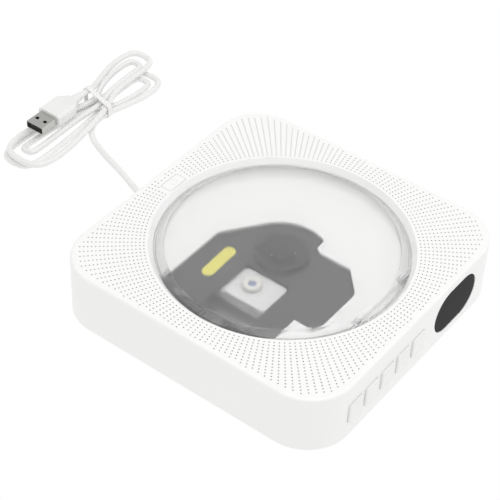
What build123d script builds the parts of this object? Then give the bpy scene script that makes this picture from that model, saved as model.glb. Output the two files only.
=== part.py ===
from build123d import *
import os
from math import acos, atan2, cos, degrees, hypot, pi, radians, sin, sqrt, tan

os.makedirs("parts", exist_ok=True)

# A disc player for a desk or a wall, in millimetres.
# The spindle stands on the Z axis, the keys face -Y and the feet rest on z = 0.

# Housing
body_width = 166.0
body_depth = 166.0
corner_radius = 25.0
shell_height = 34.5
foot_height = 1.0
wall = 2.2
edge_round = 1.5
base_thick = 2.0
base_gap = 0.15

# Disc well and lid
lid_radius = 64.9
lid_gap = 0.7
lid_bevel_width = 4.6
lid_thick = 1.8
lid_bevel_drop = 3.3
lid_skirt_drop = 6.0
lid_skirt_thick = 1.6
rim_slope = 2.4
rim_drop = 2.9
ledge_width = 3.6
seat_gap = 0.2
floor_drop = 7.4
floor_thick = 1.8
well_wall = 2.0

# Speaker grille: holes on spokes and rings about the spindle
grille_hole_radius = 0.5
grille_pitch = 2.0
grille_first_ring = 74.0
grille_rings = 10
grille_spokes = (-7, 0, 7)
speaker_offset = 60.5
speaker_radius = 16.0

# Lid hinge
hinge_inset = 5.0
hinge_drop = 3.5
hinge_pin_radius = 0.8
hinge_lug_inner = 17.5
hinge_lug_outer = 21.5
hinge_lug_radius = 1.7
hinge_pin_end = 31.2
running_gap = 0.05

# Release tab and latch
tab_x = 1.5
tab_width = 12.9
tab_depth = 6.5
tab_rim_gap = 0.9
tab_gap = 0.25
tab_travel = 1.2
latch_half_width = 5.0
latch_nose_half = 2.5
latch_length = 11.4
latch_drop = 5.7
latch_thick = 1.1
nose_length = 2.3

# Window and keys in the front wall
window_width = 38.3
window_height = 25.5
window_x = 35.2
window_drop = 17.4
key_count = 5
key_pitch = 13.6
key_width = 10.5
key_height = 12.0
key_first_x = -54.2
key_drop = 18.5
key_proud = 1.3
key_travel = 0.8
key_gap = 0.3

# Drive deck
deck_left = -76.0
deck_right = 24.0
deck_front = -50.0
deck_rear = 40.0
deck_thick = 1.8
deck_skirt = 1.5
deck_skirt_depth = 4.9
deck_gap = 0.4
ear_radius = 4.5
ear_thick = 1.5
deck_screw_radius = 1.4
damper_height = 3.0

# Disc seat
disc_hole_radius = 7.5
hub_gap = 0.15
turntable_radius = 13.8
disc_seat_drop = 6.0
hub_height = 1.8
ball_radius = 0.9
ball_turns = (45, 165, 285)
ball_proud = 0.2
ball_travel = 0.5

# Pickup and its drive
lens_start = 25.0
sled_travel = 33.0
rod_radius = 1.5
rear_rod_y = 14.5
front_rod_y = -20.5
gear_module = 0.7
small_teeth = 10
large_teeth = 30
pinion_teeth = 8
mesh_gap = 0.15
rack_line_y = -25.3
gear_x = -40.0
gear_pin_radius = 1.0
motor_angle = 240.0
focus_travel = 0.5

# USB lead
cord_radius = 1.75
cord_sides = 8
cord_x = 6.0
cord_z = 8.0
grommet_nose = 8.0

# Heights and places that follow from these sizes
half_depth = body_depth / 2
hub_radius = disc_hole_radius - hub_gap
top_z = foot_height + shell_height
under_top = top_z - wall
rim_radius = lid_radius + lid_gap
rim_top_radius = rim_radius + rim_slope
lid_flat_radius = lid_radius - lid_bevel_width
ledge_radius = rim_radius - ledge_width
skirt_bottom = top_z - lid_skirt_drop
ledge_z = skirt_bottom - seat_gap
floor_z = top_z - floor_drop
floor_under = floor_z - floor_thick
base_top = foot_height + base_thick
inner_front = -half_depth + wall
inner_rear = half_depth - wall
hinge_y = hinge_inset - lid_radius
hinge_z = top_z - hinge_drop
deck_top = floor_under - deck_gap
deck_under = deck_top - deck_thick
deck_bottom = deck_top - deck_skirt_depth
damper_z = deck_bottom - damper_height
seat_z = top_z - disc_seat_drop
hub_top = seat_z + hub_height
rod_z = deck_bottom - 0.5
key_z = top_z - key_drop
window_z = top_z - window_drop


def save(part, label):
    """Names a finished piece and writes it to its own file."""
    part.label = label
    export_step(part, f"parts/{label}.step")


def polar(radius, angle):
    """A point at a radius and an angle in degrees about the spindle."""
    return (radius * cos(radians(angle)), radius * sin(radians(angle)))


# Screw places: the case screws and the posts that carry the deck
case_screws_xy = [(-64, -64), (64, -64), (-74, 27), (74, 27)]
deck_screws_xy = [(-60, deck_front - 6), (16, deck_front - 6), (-60, deck_rear + 6), (16, deck_rear + 6)]
feet_xy = [(-52, -60), (52, -60), (-52, 60), (52, 60)]
board_posts_xy = [(-40, 56), (40, 56), (-40, 74), (40, 74)]
case_screw_radius = 1.4
case_boss_radius = 3.6
screw_bite = 0.05
case_boss_z = 6.2
counterbore_z = 4.4
counterbore_radius = 3.3

# White top shell with the rim, the disc well and its ledge
well_profile = [
    (0, floor_under),
    (rim_radius + well_wall, floor_under),
    (rim_radius + well_wall, under_top + 0.5),
    (0, under_top + 0.5),
]
opening_profile = [
    (0, floor_z),
    (ledge_radius, floor_z),
    (ledge_radius, ledge_z),
    (rim_radius, ledge_z),
    (rim_radius, top_z - rim_drop),
    (rim_top_radius, top_z),
    (rim_top_radius, top_z + 1),
    (0, top_z + 1),
]

# Outline of the hole in the well floor, where the deck shows
cutout_radius = 24.5
cutout_corner = (-7.4, 35.4)
cutout_left_x = -72.0
cutout_front_y = -32.7
tangent_angle = degrees(
    atan2(cutout_corner[1], cutout_corner[0]) - acos(cutout_radius / hypot(*cutout_corner))
)
notch_angle = -26.7
cutout_top = floor_z + 3.1

hinge_slot_half = 25.8
trough_thick = 1.0
hinge_slot_y = hinge_y + 2.9
trough_rear = hinge_slot_y + trough_thick
trough_low = floor_under - 0.7
boss_end = hinge_pin_end + 1.6
tab_front_y = rim_top_radius + tab_rim_gap
tab_y = tab_front_y + tab_depth / 2
latch_low = top_z - latch_drop
latch_high = latch_low + latch_thick
latch_rear_y = rim_radius + latch_length
latch_nose_y = rim_radius + 0.9 - nose_length
rail_y = tab_y + 1.35
nose_low = latch_low + 0.4
rail_low = latch_low - 1.0
av_x = -14.0
av_z = 11.4
av_nose_radius = 3.0
av_bore_radius = 1.8
av_bore_length = 12.0
hdmi_x = -34.0
hdmi_z = 11.6
hdmi_width = 15.0
hdmi_height = 6.0
switch_x = 28.0
switch_z = 11.0
switch_travel = 4.0
knob_size = 3.0

key_xs = [key_first_x + i * key_pitch for i in range(key_count)]

with BuildPart() as top_shell:
    with BuildSketch(Plane.XY.offset(foot_height)):
        RectangleRounded(body_width, body_depth, corner_radius)
    extrude(amount=shell_height)
    fillet(top_shell.edges().group_by(Axis.Z)[-1], edge_round)
    with BuildSketch(Plane.XY.offset(foot_height)):
        RectangleRounded(body_width - 2 * wall, body_depth - 2 * wall, corner_radius - wall)
    extrude(amount=shell_height - wall, mode=Mode.SUBTRACT)
    # Screw bosses and the bosses of the lid hinge
    with BuildSketch(Plane.XY.offset(case_boss_z)):
        with Locations(*case_screws_xy):
            Circle(case_boss_radius)
    extrude(amount=under_top - case_boss_z)
    for side in (-1, 1):
        with BuildSketch(Plane.XY.offset(hinge_z - 3.3)):
            with Locations((side * (boss_end + 26.8) / 2, hinge_y)):
                Rectangle(boss_end - 26.8, 6.8)
        extrude(amount=under_top - hinge_z + 3.3)
    # Guide rails and shelves of the latch
    for side in (-1, 1):
        with BuildSketch(Plane.XY.offset(rail_low)):
            with Locations((tab_x + side * 8.8, rail_y)):
                Rectangle(1.6, 13)
        extrude(amount=under_top - rail_low)
        with BuildSketch(Plane.XY.offset(rail_low)):
            with Locations((tab_x + side * 6.2, rail_y)):
                Rectangle(3.8, 13)
        extrude(amount=latch_low - seat_gap - rail_low)
    with BuildSketch(Plane.XZ):
        with BuildLine():
            Polyline(*well_profile, close=True)
        make_face()
    revolve(axis=Axis.Z)
    # Underside of the trough into which the lid's front edge swings
    with BuildSketch(Plane.XY.offset(trough_low - trough_thick)):
        with Locations((0, trough_rear)):
            Rectangle(2 * (hinge_slot_half + trough_thick), half_depth, align=(Align.CENTER, Align.MAX))
        Circle(rim_radius + well_wall, mode=Mode.INTERSECT)
    extrude(amount=floor_under - trough_low + trough_thick)
    # Rings under the grille that hold the speakers
    with BuildSketch(Plane.XY.offset(under_top - 1.8)):
        with Locations((speaker_offset, speaker_offset), (-speaker_offset, speaker_offset)):
            Circle(speaker_radius)
            Circle(speaker_radius - 1.5, mode=Mode.SUBTRACT)
    extrude(amount=1.8)
    with BuildSketch(Plane.XZ):
        with BuildLine():
            Polyline(*opening_profile, close=True)
        make_face()
    revolve(axis=Axis.Z, mode=Mode.SUBTRACT)
    # Hole in the well floor, open under the rim on the left
    with BuildSketch(Plane.XY.offset(floor_under - 0.5)):
        with BuildLine():
            Line((cutout_left_x, cutout_corner[1]), cutout_corner)
            Line(cutout_corner, polar(cutout_radius, tangent_angle))
            ThreePointArc(
                polar(cutout_radius, tangent_angle),
                polar(cutout_radius, (tangent_angle + notch_angle) / 2),
                polar(cutout_radius, notch_angle),
            )
            Polyline(
                polar(cutout_radius, notch_angle),
                (14.9, -11.5),
                (12.8, -14.9),
                (12.8, -33.4),
                (0, -45),
                (-3, -45.7),
                (-29, -45.7),
                (-34.4, -43.5),
                (-34.4, cutout_front_y),
                (cutout_left_x, cutout_front_y),
                (cutout_left_x, cutout_corner[1]),
            )
        make_face()
    extrude(amount=cutout_top - floor_under + 0.5, mode=Mode.SUBTRACT)
    # Room in the ledge and floor for the lid's front edge as it swings down
    with BuildSketch(Plane.XY.offset(trough_low)):
        with Locations((0, hinge_slot_y)):
            Rectangle(2 * hinge_slot_half, half_depth, align=(Align.CENTER, Align.MAX))
        Circle(rim_radius, mode=Mode.INTERSECT)
    extrude(amount=ledge_z - trough_low + 0.5, mode=Mode.SUBTRACT)
    # Bores for the hinge pins
    with BuildSketch(Plane.YZ):
        with Locations((hinge_y, hinge_z)):
            Circle(hinge_pin_radius + running_gap)
    extrude(amount=hinge_pin_end + 0.4, both=True, mode=Mode.SUBTRACT)
    # Place of the release tab, and the slot for the latch nose
    with BuildSketch(Plane.XY.offset(latch_low - seat_gap)):
        with Locations((tab_x, tab_y)):
            RectangleRounded(tab_width + 2 * tab_gap, tab_depth + 2 * tab_gap, 1.2)
    extrude(amount=top_z - latch_low + 1, mode=Mode.SUBTRACT)
    with BuildSketch(Plane.XY.offset(latch_low - seat_gap)):
        with Locations((tab_x, rim_radius + 1.4)):
            Rectangle(2 * (latch_half_width + seat_gap), 6)
    extrude(amount=latch_high - latch_low + 2 * seat_gap, mode=Mode.SUBTRACT)
    # Front wall: window and keys
    with BuildSketch(Plane.XZ.offset(half_depth)):
        with Locations((window_x, window_z)):
            SlotOverall(window_width, window_height)
        with Locations(*[(x, key_z) for x in key_xs]):
            RectangleRounded(key_width + 2 * key_gap, key_height + 2 * key_gap, 1.5)
    extrude(amount=2 * wall, both=True, mode=Mode.SUBTRACT)
    # Rear wall: cord, sound socket, picture socket and switch
    with BuildSketch(Plane.XZ.offset(-half_depth)):
        with Locations((cord_x, cord_z)):
            Circle(3.4)
        with Locations((av_x, av_z)):
            Circle(av_nose_radius + 0.2)
        with Locations((hdmi_x, hdmi_z)):
            Rectangle(hdmi_width + 0.4, hdmi_height + 0.4)
        with Locations((switch_x, switch_z)):
            Rectangle(switch_travel + knob_size + 1, knob_size + 0.8)
    extrude(amount=2 * wall, both=True, mode=Mode.SUBTRACT)
    # Screw holes in the bosses
    with BuildSketch(Plane.XY.offset(case_boss_z)):
        with Locations(*case_screws_xy):
            Circle(case_screw_radius + screw_bite)
    extrude(amount=14, mode=Mode.SUBTRACT)
    # Grille over the two speakers
    for corner in (45, 135):
        with BuildSketch(Plane.XY.offset(under_top)):
            for ring in range(grille_rings):
                radius = grille_first_ring + ring * grille_pitch
                reach = abs(radius - speaker_offset * sqrt(2)) / (speaker_radius - 3)
                for spoke in grille_spokes:
                    if hypot(reach, spoke / 10) < 1:
                        with Locations(polar(radius, corner + spoke)):
                            RegularPolygon(grille_hole_radius, 6)
        extrude(amount=wall, mode=Mode.SUBTRACT)
save(top_shell.part, "top_shell")

# Base plate with its posts, held by four screws from below
with BuildPart() as base_plate:
    with BuildSketch(Plane.XY.offset(foot_height)):
        RectangleRounded(
            body_width - 2 * (wall + base_gap),
            body_depth - 2 * (wall + base_gap),
            corner_radius - wall - base_gap,
        )
    extrude(amount=base_thick)
    with BuildSketch(Plane.XY.offset(base_top)):
        with Locations(*deck_screws_xy):
            Circle(3.5)
    extrude(amount=damper_z - base_top)
    with BuildSketch(Plane.XY.offset(base_top)):
        with Locations(*board_posts_xy):
            Circle(2.5)
    extrude(amount=3.6)
    with BuildSketch(Plane.XY.offset(base_top)):
        with Locations(*case_screws_xy):
            Circle(counterbore_radius + 1.2)
    extrude(amount=case_boss_z - seat_gap - base_top)
    with BuildSketch(Plane.XY.offset(base_top)):
        with Locations((-45, -71.2), (45, -71.2)):
            Rectangle(6, 6)
    extrude(amount=5)
    with BuildSketch(Plane.XY.offset(base_top + 1)):
        with Locations((0, -71.2)):
            Rectangle(100, 1.9)
    extrude(amount=5, mode=Mode.SUBTRACT)
    with BuildSketch(Plane.XY.offset(foot_height)):
        with Locations(*feet_xy):
            Circle(6.1)
    extrude(amount=0.6, mode=Mode.SUBTRACT)
    with BuildSketch(Plane.XY.offset(foot_height)):
        with Locations(*case_screws_xy):
            Circle(counterbore_radius)
    extrude(amount=counterbore_z - foot_height, mode=Mode.SUBTRACT)
    with BuildSketch(Plane.XY.offset(foot_height)):
        with Locations(*case_screws_xy):
            Circle(case_screw_radius + 0.3)
    extrude(amount=8, mode=Mode.SUBTRACT)
    with BuildSketch(Plane.XY.offset(9)):
        with Locations(*deck_screws_xy):
            Circle(deck_screw_radius + screw_bite)
    extrude(amount=damper_z - 9, mode=Mode.SUBTRACT)
save(base_plate.part, "base_plate")

# Rubber feet
with BuildPart() as feet:
    with BuildSketch():
        with Locations(*feet_xy):
            Circle(6)
    extrude(amount=foot_height + 0.6)
    chamfer(feet.edges().group_by(Axis.Z)[0], 0.4)
save(feet.part, "feet")


def pan_head_screws(places, head_z, head_height, head_radius, shank_radius, shank_end):
    """Pan-head screws whose heads bear on head_z and whose shanks run to shank_end."""
    up = 1 if head_z > shank_end else -1
    with BuildPart() as screws:
        with BuildSketch(Plane.XY.offset(head_z)):
            with Locations(*places):
                Circle(head_radius)
        extrude(amount=up * head_height)
        with BuildSketch(Plane.XY.offset(head_z)):
            with Locations(*places):
                Circle(shank_radius)
        extrude(amount=shank_end - head_z)
        with BuildSketch(Plane.XY.offset(head_z + up * head_height)):
            with Locations(*places):
                Rectangle(2.6, 0.6)
                Rectangle(0.6, 2.6)
        extrude(amount=-up * 0.7, mode=Mode.SUBTRACT)
    return screws.part


save(pan_head_screws(case_screws_xy, counterbore_z, 1.6, 2.8, case_screw_radius, 16), "case_screws")
save(
    pan_head_screws(deck_screws_xy, deck_bottom + ear_thick, 1.5, 3.2, deck_screw_radius, 10),
    "deck_screws",
)

# Black front window, let into the wall from behind
window_gap = 0.15
window_flange = 2.0
flange_z_gap = 0.2
with BuildPart() as window:
    with BuildSketch(Plane.XZ.offset(-inner_front - flange_z_gap)):
        with Locations((window_x, window_z)):
            SlotOverall(window_width - 2 * window_gap, window_height - 2 * window_gap)
    extrude(amount=wall + flange_z_gap - 0.2)
    with BuildSketch(Plane.XZ.offset(-inner_front - flange_z_gap)):
        with Locations((window_x, window_z)):
            SlotOverall(window_width + window_flange, window_height + window_flange)
    extrude(amount=-1.2)
    chamfer(window.edges().group_by(Axis.Y)[0], 0.4)
save(window.part, "window")

# Five raised function keys, each with a stem that meets its switch
key_stem_end = inner_front + 4.2
for number, x in enumerate(key_xs, start=1):
    with BuildPart() as key:
        with BuildSketch(Plane.XZ.offset(-inner_front - key_gap)):
            with Locations((x, key_z)):
                RectangleRounded(key_width, key_height, 1.2)
        extrude(amount=wall + key_proud + key_gap)
        chamfer(key.edges().group_by(Axis.Y)[0], 0.5)
        with BuildSketch(Plane.XZ.offset(-inner_front - key_gap)):
            with Locations((x, key_z)):
                Rectangle(key_width + 2, key_height + 2)
        extrude(amount=-1.2)
        with BuildSketch(Plane.XZ.offset(-inner_front - key_gap - 1.2)):
            with Locations((x, key_z)):
                Circle(2)
        extrude(amount=key_gap + 1.2 + inner_front - key_stem_end)
    save(key.part, f"key_{number}")

# Upright board behind the front wall, with the switches, display and infrared receiver
key_board_y = -72.0
board_thick = 1.6
switch_tip_y = key_stem_end + key_travel + 0.1
with BuildPart() as key_board:
    with BuildSketch(Plane.XZ.offset(-key_board_y)):
        with Locations((0, 17)):
            Rectangle(118, 26)
    extrude(amount=-board_thick)
save(key_board.part, "key_board")

with BuildPart() as key_switches:
    with BuildSketch(Plane.XZ.offset(-key_board_y)):
        with Locations(*[(x, key_z) for x in key_xs]):
            Rectangle(6, 6)
    extrude(amount=3.3)
    with BuildSketch(Plane.XZ.offset(-key_board_y + 3.3)):
        with Locations(*[(x, key_z) for x in key_xs]):
            Circle(1.6)
    extrude(amount=key_board_y - 3.3 - switch_tip_y)
save(key_switches.part, "key_switches")

with BuildPart() as display_module:
    with BuildSketch(Plane.XZ.offset(-key_board_y)):
        with Locations((window_x - 4, window_z)):
            Rectangle(25, 14)
    extrude(amount=6.4)
    chamfer(display_module.edges().group_by(Axis.Y)[0], 0.5)
save(display_module.part, "display_module")

with BuildPart() as ir_receiver:
    with BuildSketch(Plane.XZ.offset(-key_board_y)):
        with Locations((window_x + 14, window_z)):
            Rectangle(5.4, 7)
    extrude(amount=4)
    with BuildSketch(Plane.XZ.offset(-key_board_y + 4)):
        with Locations((window_x + 14, window_z)):
            Circle(2.2)
    extrude(amount=1.6)
    fillet(ir_receiver.edges().group_by(Axis.Y)[0], 1.2)
save(ir_receiver.part, "ir_receiver")

# Main board at the rear, with its parts and the sockets of the rear wall
main_board_z = base_top + 3.6
main_board_top = main_board_z + board_thick
with BuildPart() as main_board:
    with BuildSketch(Plane.XY.offset(main_board_z)):
        with Locations((0, 65)):
            Rectangle(96, 26)
    extrude(amount=board_thick)
save(main_board.part, "main_board")

with BuildPart() as board_parts:
    with BuildSketch(Plane.XY.offset(main_board_top)):
        with Locations((-8, 59), (22, 60)):
            Rectangle(9, 9)
        with Locations((-28, 58)):
            Rectangle(6, 8)
    extrude(amount=1.4)
    with BuildSketch(Plane.XY.offset(main_board_top)):
        with Locations((7, 58), (36, 66), (-20, 66)):
            Circle(2.5)
    extrude(amount=6)
save(board_parts.part, "board_parts")

with BuildPart() as av_jack:
    with BuildSketch(Plane.XZ.offset(-inner_rear + 0.2)):
        with Locations((av_x, av_z)):
            Rectangle(7, 2 * (av_z - main_board_top))
    extrude(amount=11)
    with BuildSketch(Plane.XZ.offset(-inner_rear + 0.2)):
        with Locations((av_x, av_z)):
            Circle(av_nose_radius)
    extrude(amount=-wall)
    with BuildSketch(Plane.XZ.offset(-inner_rear + 0.2 - wall)):
        with Locations((av_x, av_z)):
            Circle(av_bore_radius)
    extrude(amount=av_bore_length, mode=Mode.SUBTRACT)
save(av_jack.part, "av_jack")

with BuildPart() as hdmi_socket:
    with BuildSketch(Plane.XZ.offset(-half_depth + 0.2)):
        with Locations((hdmi_x, hdmi_z)):
            Rectangle(hdmi_width, hdmi_height)
    extrude(amount=12)
    with BuildSketch(Plane.XZ.offset(-half_depth + 0.2)):
        with BuildLine():
            Polyline(
                (hdmi_x - 7, hdmi_z + 2.3),
                (hdmi_x + 7, hdmi_z + 2.3),
                (hdmi_x + 7, hdmi_z - 1),
                (hdmi_x + 5.6, hdmi_z - 2.3),
                (hdmi_x - 5.6, hdmi_z - 2.3),
                (hdmi_x - 7, hdmi_z - 1),
                close=True,
            )
        make_face()
    extrude(amount=9, mode=Mode.SUBTRACT)
    with BuildSketch(Plane.XZ.offset(-half_depth + 1.2)):
        with Locations((hdmi_x, hdmi_z + 0.5)):
            Rectangle(11, 1)
    extrude(amount=9)
    with BuildSketch(Plane.XY.offset(main_board_top)):
        with Locations((hdmi_x, half_depth - 11)):
            Rectangle(4, 3)
    extrude(amount=hdmi_z - hdmi_height / 2 - main_board_top)
save(hdmi_socket.part, "hdmi_socket")

with BuildPart() as power_switch:
    with BuildSketch(Plane.XY.offset(main_board_top)):
        with Locations((switch_x, inner_rear - 3)):
            Rectangle(11, 5.6)
    extrude(amount=5.6)
    with BuildSketch(Plane.XZ.offset(-inner_rear + 3)):
        with Locations((switch_x, switch_z)):
            Rectangle(switch_travel + knob_size + 0.6, knob_size + 0.4)
    extrude(amount=-4, mode=Mode.SUBTRACT)
save(power_switch.part, "power_switch")

with BuildPart() as switch_knob:
    with BuildSketch(Plane.XZ.offset(-inner_rear + 2.8)):
        with Locations((switch_x - switch_travel / 2, switch_z)):
            Rectangle(knob_size, knob_size)
    extrude(amount=-wall - 4)
    chamfer(switch_knob.edges().group_by(Axis.Y)[-1], 0.3)
save(switch_knob.part, "switch_knob")

# Two speakers under the rear corners of the grille
speaker_top = under_top - 1.8
speaker_depth = 7.0
magnet_radius = 8.5
for name, side in (("left", -1), ("right", 1)):
    centre = Plane((side * speaker_offset, speaker_offset, 0), x_dir=(1, 0, 0), z_dir=(0, -1, 0))
    spin = Axis((side * speaker_offset, speaker_offset, 0), (0, 0, 1))
    with BuildPart() as speaker_frame:
        with BuildSketch(centre):
            with BuildLine():
                Polyline(
                    (speaker_radius, speaker_top - 0.2),
                    (speaker_radius, speaker_top - 1.2),
                    (speaker_radius - 2.6, speaker_top - 1.6),
                    (magnet_radius + 0.6, speaker_top - speaker_depth),
                    (magnet_radius - 3, speaker_top - speaker_depth),
                    (magnet_radius - 3, speaker_top - speaker_depth + 0.9),
                    (magnet_radius, speaker_top - speaker_depth + 0.9),
                    (speaker_radius - 4, speaker_top - 0.2),
                    close=True,
                )
            make_face()
        revolve(axis=spin)
    save(speaker_frame.part, f"speaker_{name}_frame")
    with BuildPart() as speaker_cone:
        with BuildSketch(centre):
            with BuildLine():
                Polyline(
                    (speaker_radius - 4.2, speaker_top - 0.2),
                    (0, speaker_top - 4.8),
                    (0, speaker_top - 5.4),
                    (4, speaker_top - 5.4),
                    (speaker_radius - 4.8, speaker_top - 0.9),
                    close=True,
                )
            make_face()
        revolve(axis=spin)
    save(speaker_cone.part, f"speaker_{name}_cone")
    with BuildPart() as speaker_magnet:
        with BuildSketch(Plane.XY.offset(speaker_top - speaker_depth)):
            with Locations((side * speaker_offset, speaker_offset)):
                Circle(magnet_radius)
        extrude(amount=-6)
        chamfer(speaker_magnet.edges().group_by(Axis.Z)[0], 0.6)
    save(speaker_magnet.part, f"speaker_{name}_magnet")

# Dark drive deck: a tray plate with a skirt, ears, rod brackets and the pickup slot
sled_length = 21.0
sled_right = -15.4
sled_left = sled_right - sled_length
rod_left = sled_left - sled_travel - 3.6
rod_right = -9.5
slot_left = -54.0
slot_right = -14.7
slot_front = -17.0
slot_rear = 11.0
slot_end = -(lens_start + sled_travel) - 6.5
bracket_low = rod_z - 2.1
deck_centre = ((deck_left + deck_right) / 2, (deck_front + deck_rear) / 2)
deck_size = (deck_right - deck_left, deck_rear - deck_front)
with BuildPart() as deck_chassis:
    with BuildSketch(Plane.XY.offset(deck_bottom)):
        with Locations(deck_centre):
            RectangleRounded(*deck_size, 5)
    extrude(amount=deck_skirt_depth)
    fillet(deck_chassis.edges().group_by(Axis.Z)[-1], 0.6)
    with BuildSketch(Plane.XY.offset(deck_bottom)):
        with Locations(deck_centre):
            RectangleRounded(deck_size[0] - 2 * deck_skirt, deck_size[1] - 2 * deck_skirt, 3.5)
    extrude(amount=deck_skirt_depth - deck_thick, mode=Mode.SUBTRACT)
    with BuildSketch(Plane.XY.offset(deck_bottom)):
        for x, y in deck_screws_xy:
            edge = deck_front if y < 0 else deck_rear
            with Locations((x, y)):
                Circle(ear_radius)
            with Locations((x, (y + edge) / 2)):
                Rectangle(2 * ear_radius, abs(y - edge))
    extrude(amount=ear_thick)
    with BuildSketch(Plane.XY.offset(bracket_low)):
        for y in (front_rod_y, rear_rod_y):
            with Locations((rod_left + 1.5, y), (rod_right - 1.5, y)):
                Rectangle(3, 7)
    extrude(amount=deck_under - bracket_low)
    with BuildSketch(Plane.XY.offset(deck_bottom)):
        with Locations(*deck_screws_xy):
            Circle(deck_screw_radius + 0.4)
    extrude(amount=ear_thick, mode=Mode.SUBTRACT)
    with BuildSketch(Plane.YZ.offset(rod_left)):
        with Locations((front_rod_y, rod_z), (rear_rod_y, rod_z)):
            Circle(rod_radius + 0.02)
    extrude(amount=rod_right - rod_left, mode=Mode.SUBTRACT)
    with BuildSketch(Plane.XY.offset(deck_under)):
        with Locations(((slot_left + slot_right) / 2, (slot_front + slot_rear) / 2)):
            RectangleRounded(slot_right - slot_left, slot_rear - slot_front, 2)
        with Locations(((slot_end + slot_right) / 2, 0)):
            SlotOverall(slot_right - slot_end, 11.5)
        Circle(4)
    extrude(amount=deck_thick, mode=Mode.SUBTRACT)
    with BuildSketch(Plane.XY.offset(deck_bottom)):
        with Locations(*case_screws_xy):
            Circle(case_boss_radius + 0.8)
    extrude(amount=deck_skirt_depth, mode=Mode.SUBTRACT)
save(deck_chassis.part, "deck_chassis")

with BuildPart() as deck_dampers:
    with BuildSketch(Plane.XY.offset(damper_z)):
        with Locations(*deck_screws_xy):
            Circle(4)
            Circle(deck_screw_radius + 0.4, mode=Mode.SUBTRACT)
    extrude(amount=damper_height)
save(deck_dampers.part, "deck_dampers")

# Bare yellow label on the deck
label_length = 25.0
label_width = 6.6
with BuildPart() as deck_label:
    with BuildSketch(Plane.XY.offset(deck_top)):
        with Locations(Location((-23.0, 22.7, 0), (0, 0, -8))):
            SlotOverall(label_length, label_width)
    extrude(amount=0.15)
save(deck_label.part, "deck_label")

# Spindle motor, turntable with its hub, rubber ring and three balls
shaft_radius = 1.0
spindle_bottom = deck_under - 10.5
with BuildPart() as spindle_motor:
    with BuildSketch(Plane.XZ):
        with BuildLine():
            Polyline(
                (shaft_radius + running_gap, deck_under),
                (12, deck_under),
                (12, deck_under - 1),
                (10, deck_under - 1),
                (10, spindle_bottom + 0.8),
                (9.2, spindle_bottom),
                (0, spindle_bottom),
                (0, spindle_bottom + 1),
                (shaft_radius + running_gap, spindle_bottom + 1),
                close=True,
            )
        make_face()
    revolve(axis=Axis.Z)
save(spindle_motor.part, "spindle_motor")

pad_inner = 11.0
ball_z = seat_z + 1.1
ball_centre = hub_radius + ball_proud - ball_radius
with BuildPart() as turntable:
    with BuildSketch(Plane.XZ):
        with BuildLine():
            Polyline(
                (0, spindle_bottom + 1.2),
                (shaft_radius, spindle_bottom + 1.2),
                (shaft_radius, deck_under + 0.6),
                (3.4, deck_under + 0.6),
                (3.4, seat_z - 2),
                (turntable_radius, seat_z - 2),
                (turntable_radius, seat_z - 0.4),
                (pad_inner, seat_z - 0.4),
                (pad_inner, seat_z - 0.1),
                (hub_radius, seat_z - 0.1),
                (hub_radius, hub_top),
                (hub_radius - 0.9, hub_top + 0.5),
                (2.2, hub_top + 0.5),
                (2.2, hub_top + 0.1),
                (0, hub_top + 0.1),
                close=True,
            )
        make_face()
    revolve(axis=Axis.Z)
    for turn in ball_turns:
        pocket = Plane(
            (*polar(ball_centre - ball_travel - ball_radius - 0.3, turn), ball_z),
            z_dir=(*polar(1, turn), 0),
        )
        with BuildSketch(pocket):
            Circle(ball_radius + running_gap)
        extrude(amount=6, mode=Mode.SUBTRACT)
save(turntable.part, "turntable")

with BuildPart() as turntable_pad:
    with BuildSketch(Plane.XY.offset(seat_z - 0.4)):
        Circle(turntable_radius - 0.1)
        Circle(pad_inner + 0.1, mode=Mode.SUBTRACT)
    extrude(amount=0.4)
save(turntable_pad.part, "turntable_pad")

for number, turn in enumerate(ball_turns, start=1):
    with BuildPart() as chuck_ball:
        with Locations((*polar(ball_centre, turn), ball_z)):
            Sphere(ball_radius)
    save(chuck_ball.part, f"chuck_ball_{number}")


def gear_wheel(teeth, radius, play=0.5):
    """A toothed disc whose pitch circle has the given radius, with thinned straight teeth."""
    pitch = 2 * pi * radius / teeth
    tip = 0.95 * gear_module
    root = 1.15 * gear_module
    half_mid = (pitch / 2 - play * gear_module) / 2
    half_tip = half_mid - tip * tan(radians(20))
    half_root = half_mid + root * tan(radians(20))
    with BuildSketch() as wheel:
        Circle(radius - root)
        with PolarLocations(0, teeth):
            Polygon(
                (radius - root - 0.3, -half_root),
                (radius - root, -half_root),
                (radius + tip, -half_tip),
                (radius + tip, half_tip),
                (radius - root, half_root),
                (radius - root - 0.3, half_root),
                align=None,
            )
    return wheel.sketch


# Pickup drive: motor pinion, double gear on its pin, and the rack on the sled
small_radius = gear_module * small_teeth / 2
large_radius = gear_module * large_teeth / 2
pinion_radius = gear_module * pinion_teeth / 2
gear_y = rack_line_y - small_radius - mesh_gap
gear_low = 14.0
gear_step = gear_low + 1.6
gear_high = gear_step + 2.6
motor_reach = large_radius + pinion_radius + mesh_gap
motor_xy = (
    gear_x + motor_reach * cos(radians(motor_angle)),
    gear_y + motor_reach * sin(radians(motor_angle)),
)
pinion_pitch = 360 / pinion_teeth
small_wheel = gear_wheel(small_teeth, small_radius)
large_wheel = gear_wheel(large_teeth, large_radius)
pinion_wheel = gear_wheel(pinion_teeth, pinion_radius)

with BuildPart() as double_gear:
    with BuildSketch(Plane.XY.offset(gear_step)):
        with Locations(Location((gear_x, gear_y, 0), (0, 0, 90))):
            add(small_wheel)
    extrude(amount=gear_high - gear_step)
    with BuildSketch(Plane.XY.offset(gear_low)):
        with Locations(Location((gear_x, gear_y, 0), (0, 0, motor_angle))):
            add(large_wheel)
    extrude(amount=gear_step - gear_low)
    with BuildSketch(Plane.XY.offset(gear_low)):
        with Locations((gear_x, gear_y)):
            Circle(gear_pin_radius + running_gap)
    extrude(amount=gear_high - gear_low, mode=Mode.SUBTRACT)
save(double_gear.part, "double_gear")

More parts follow.
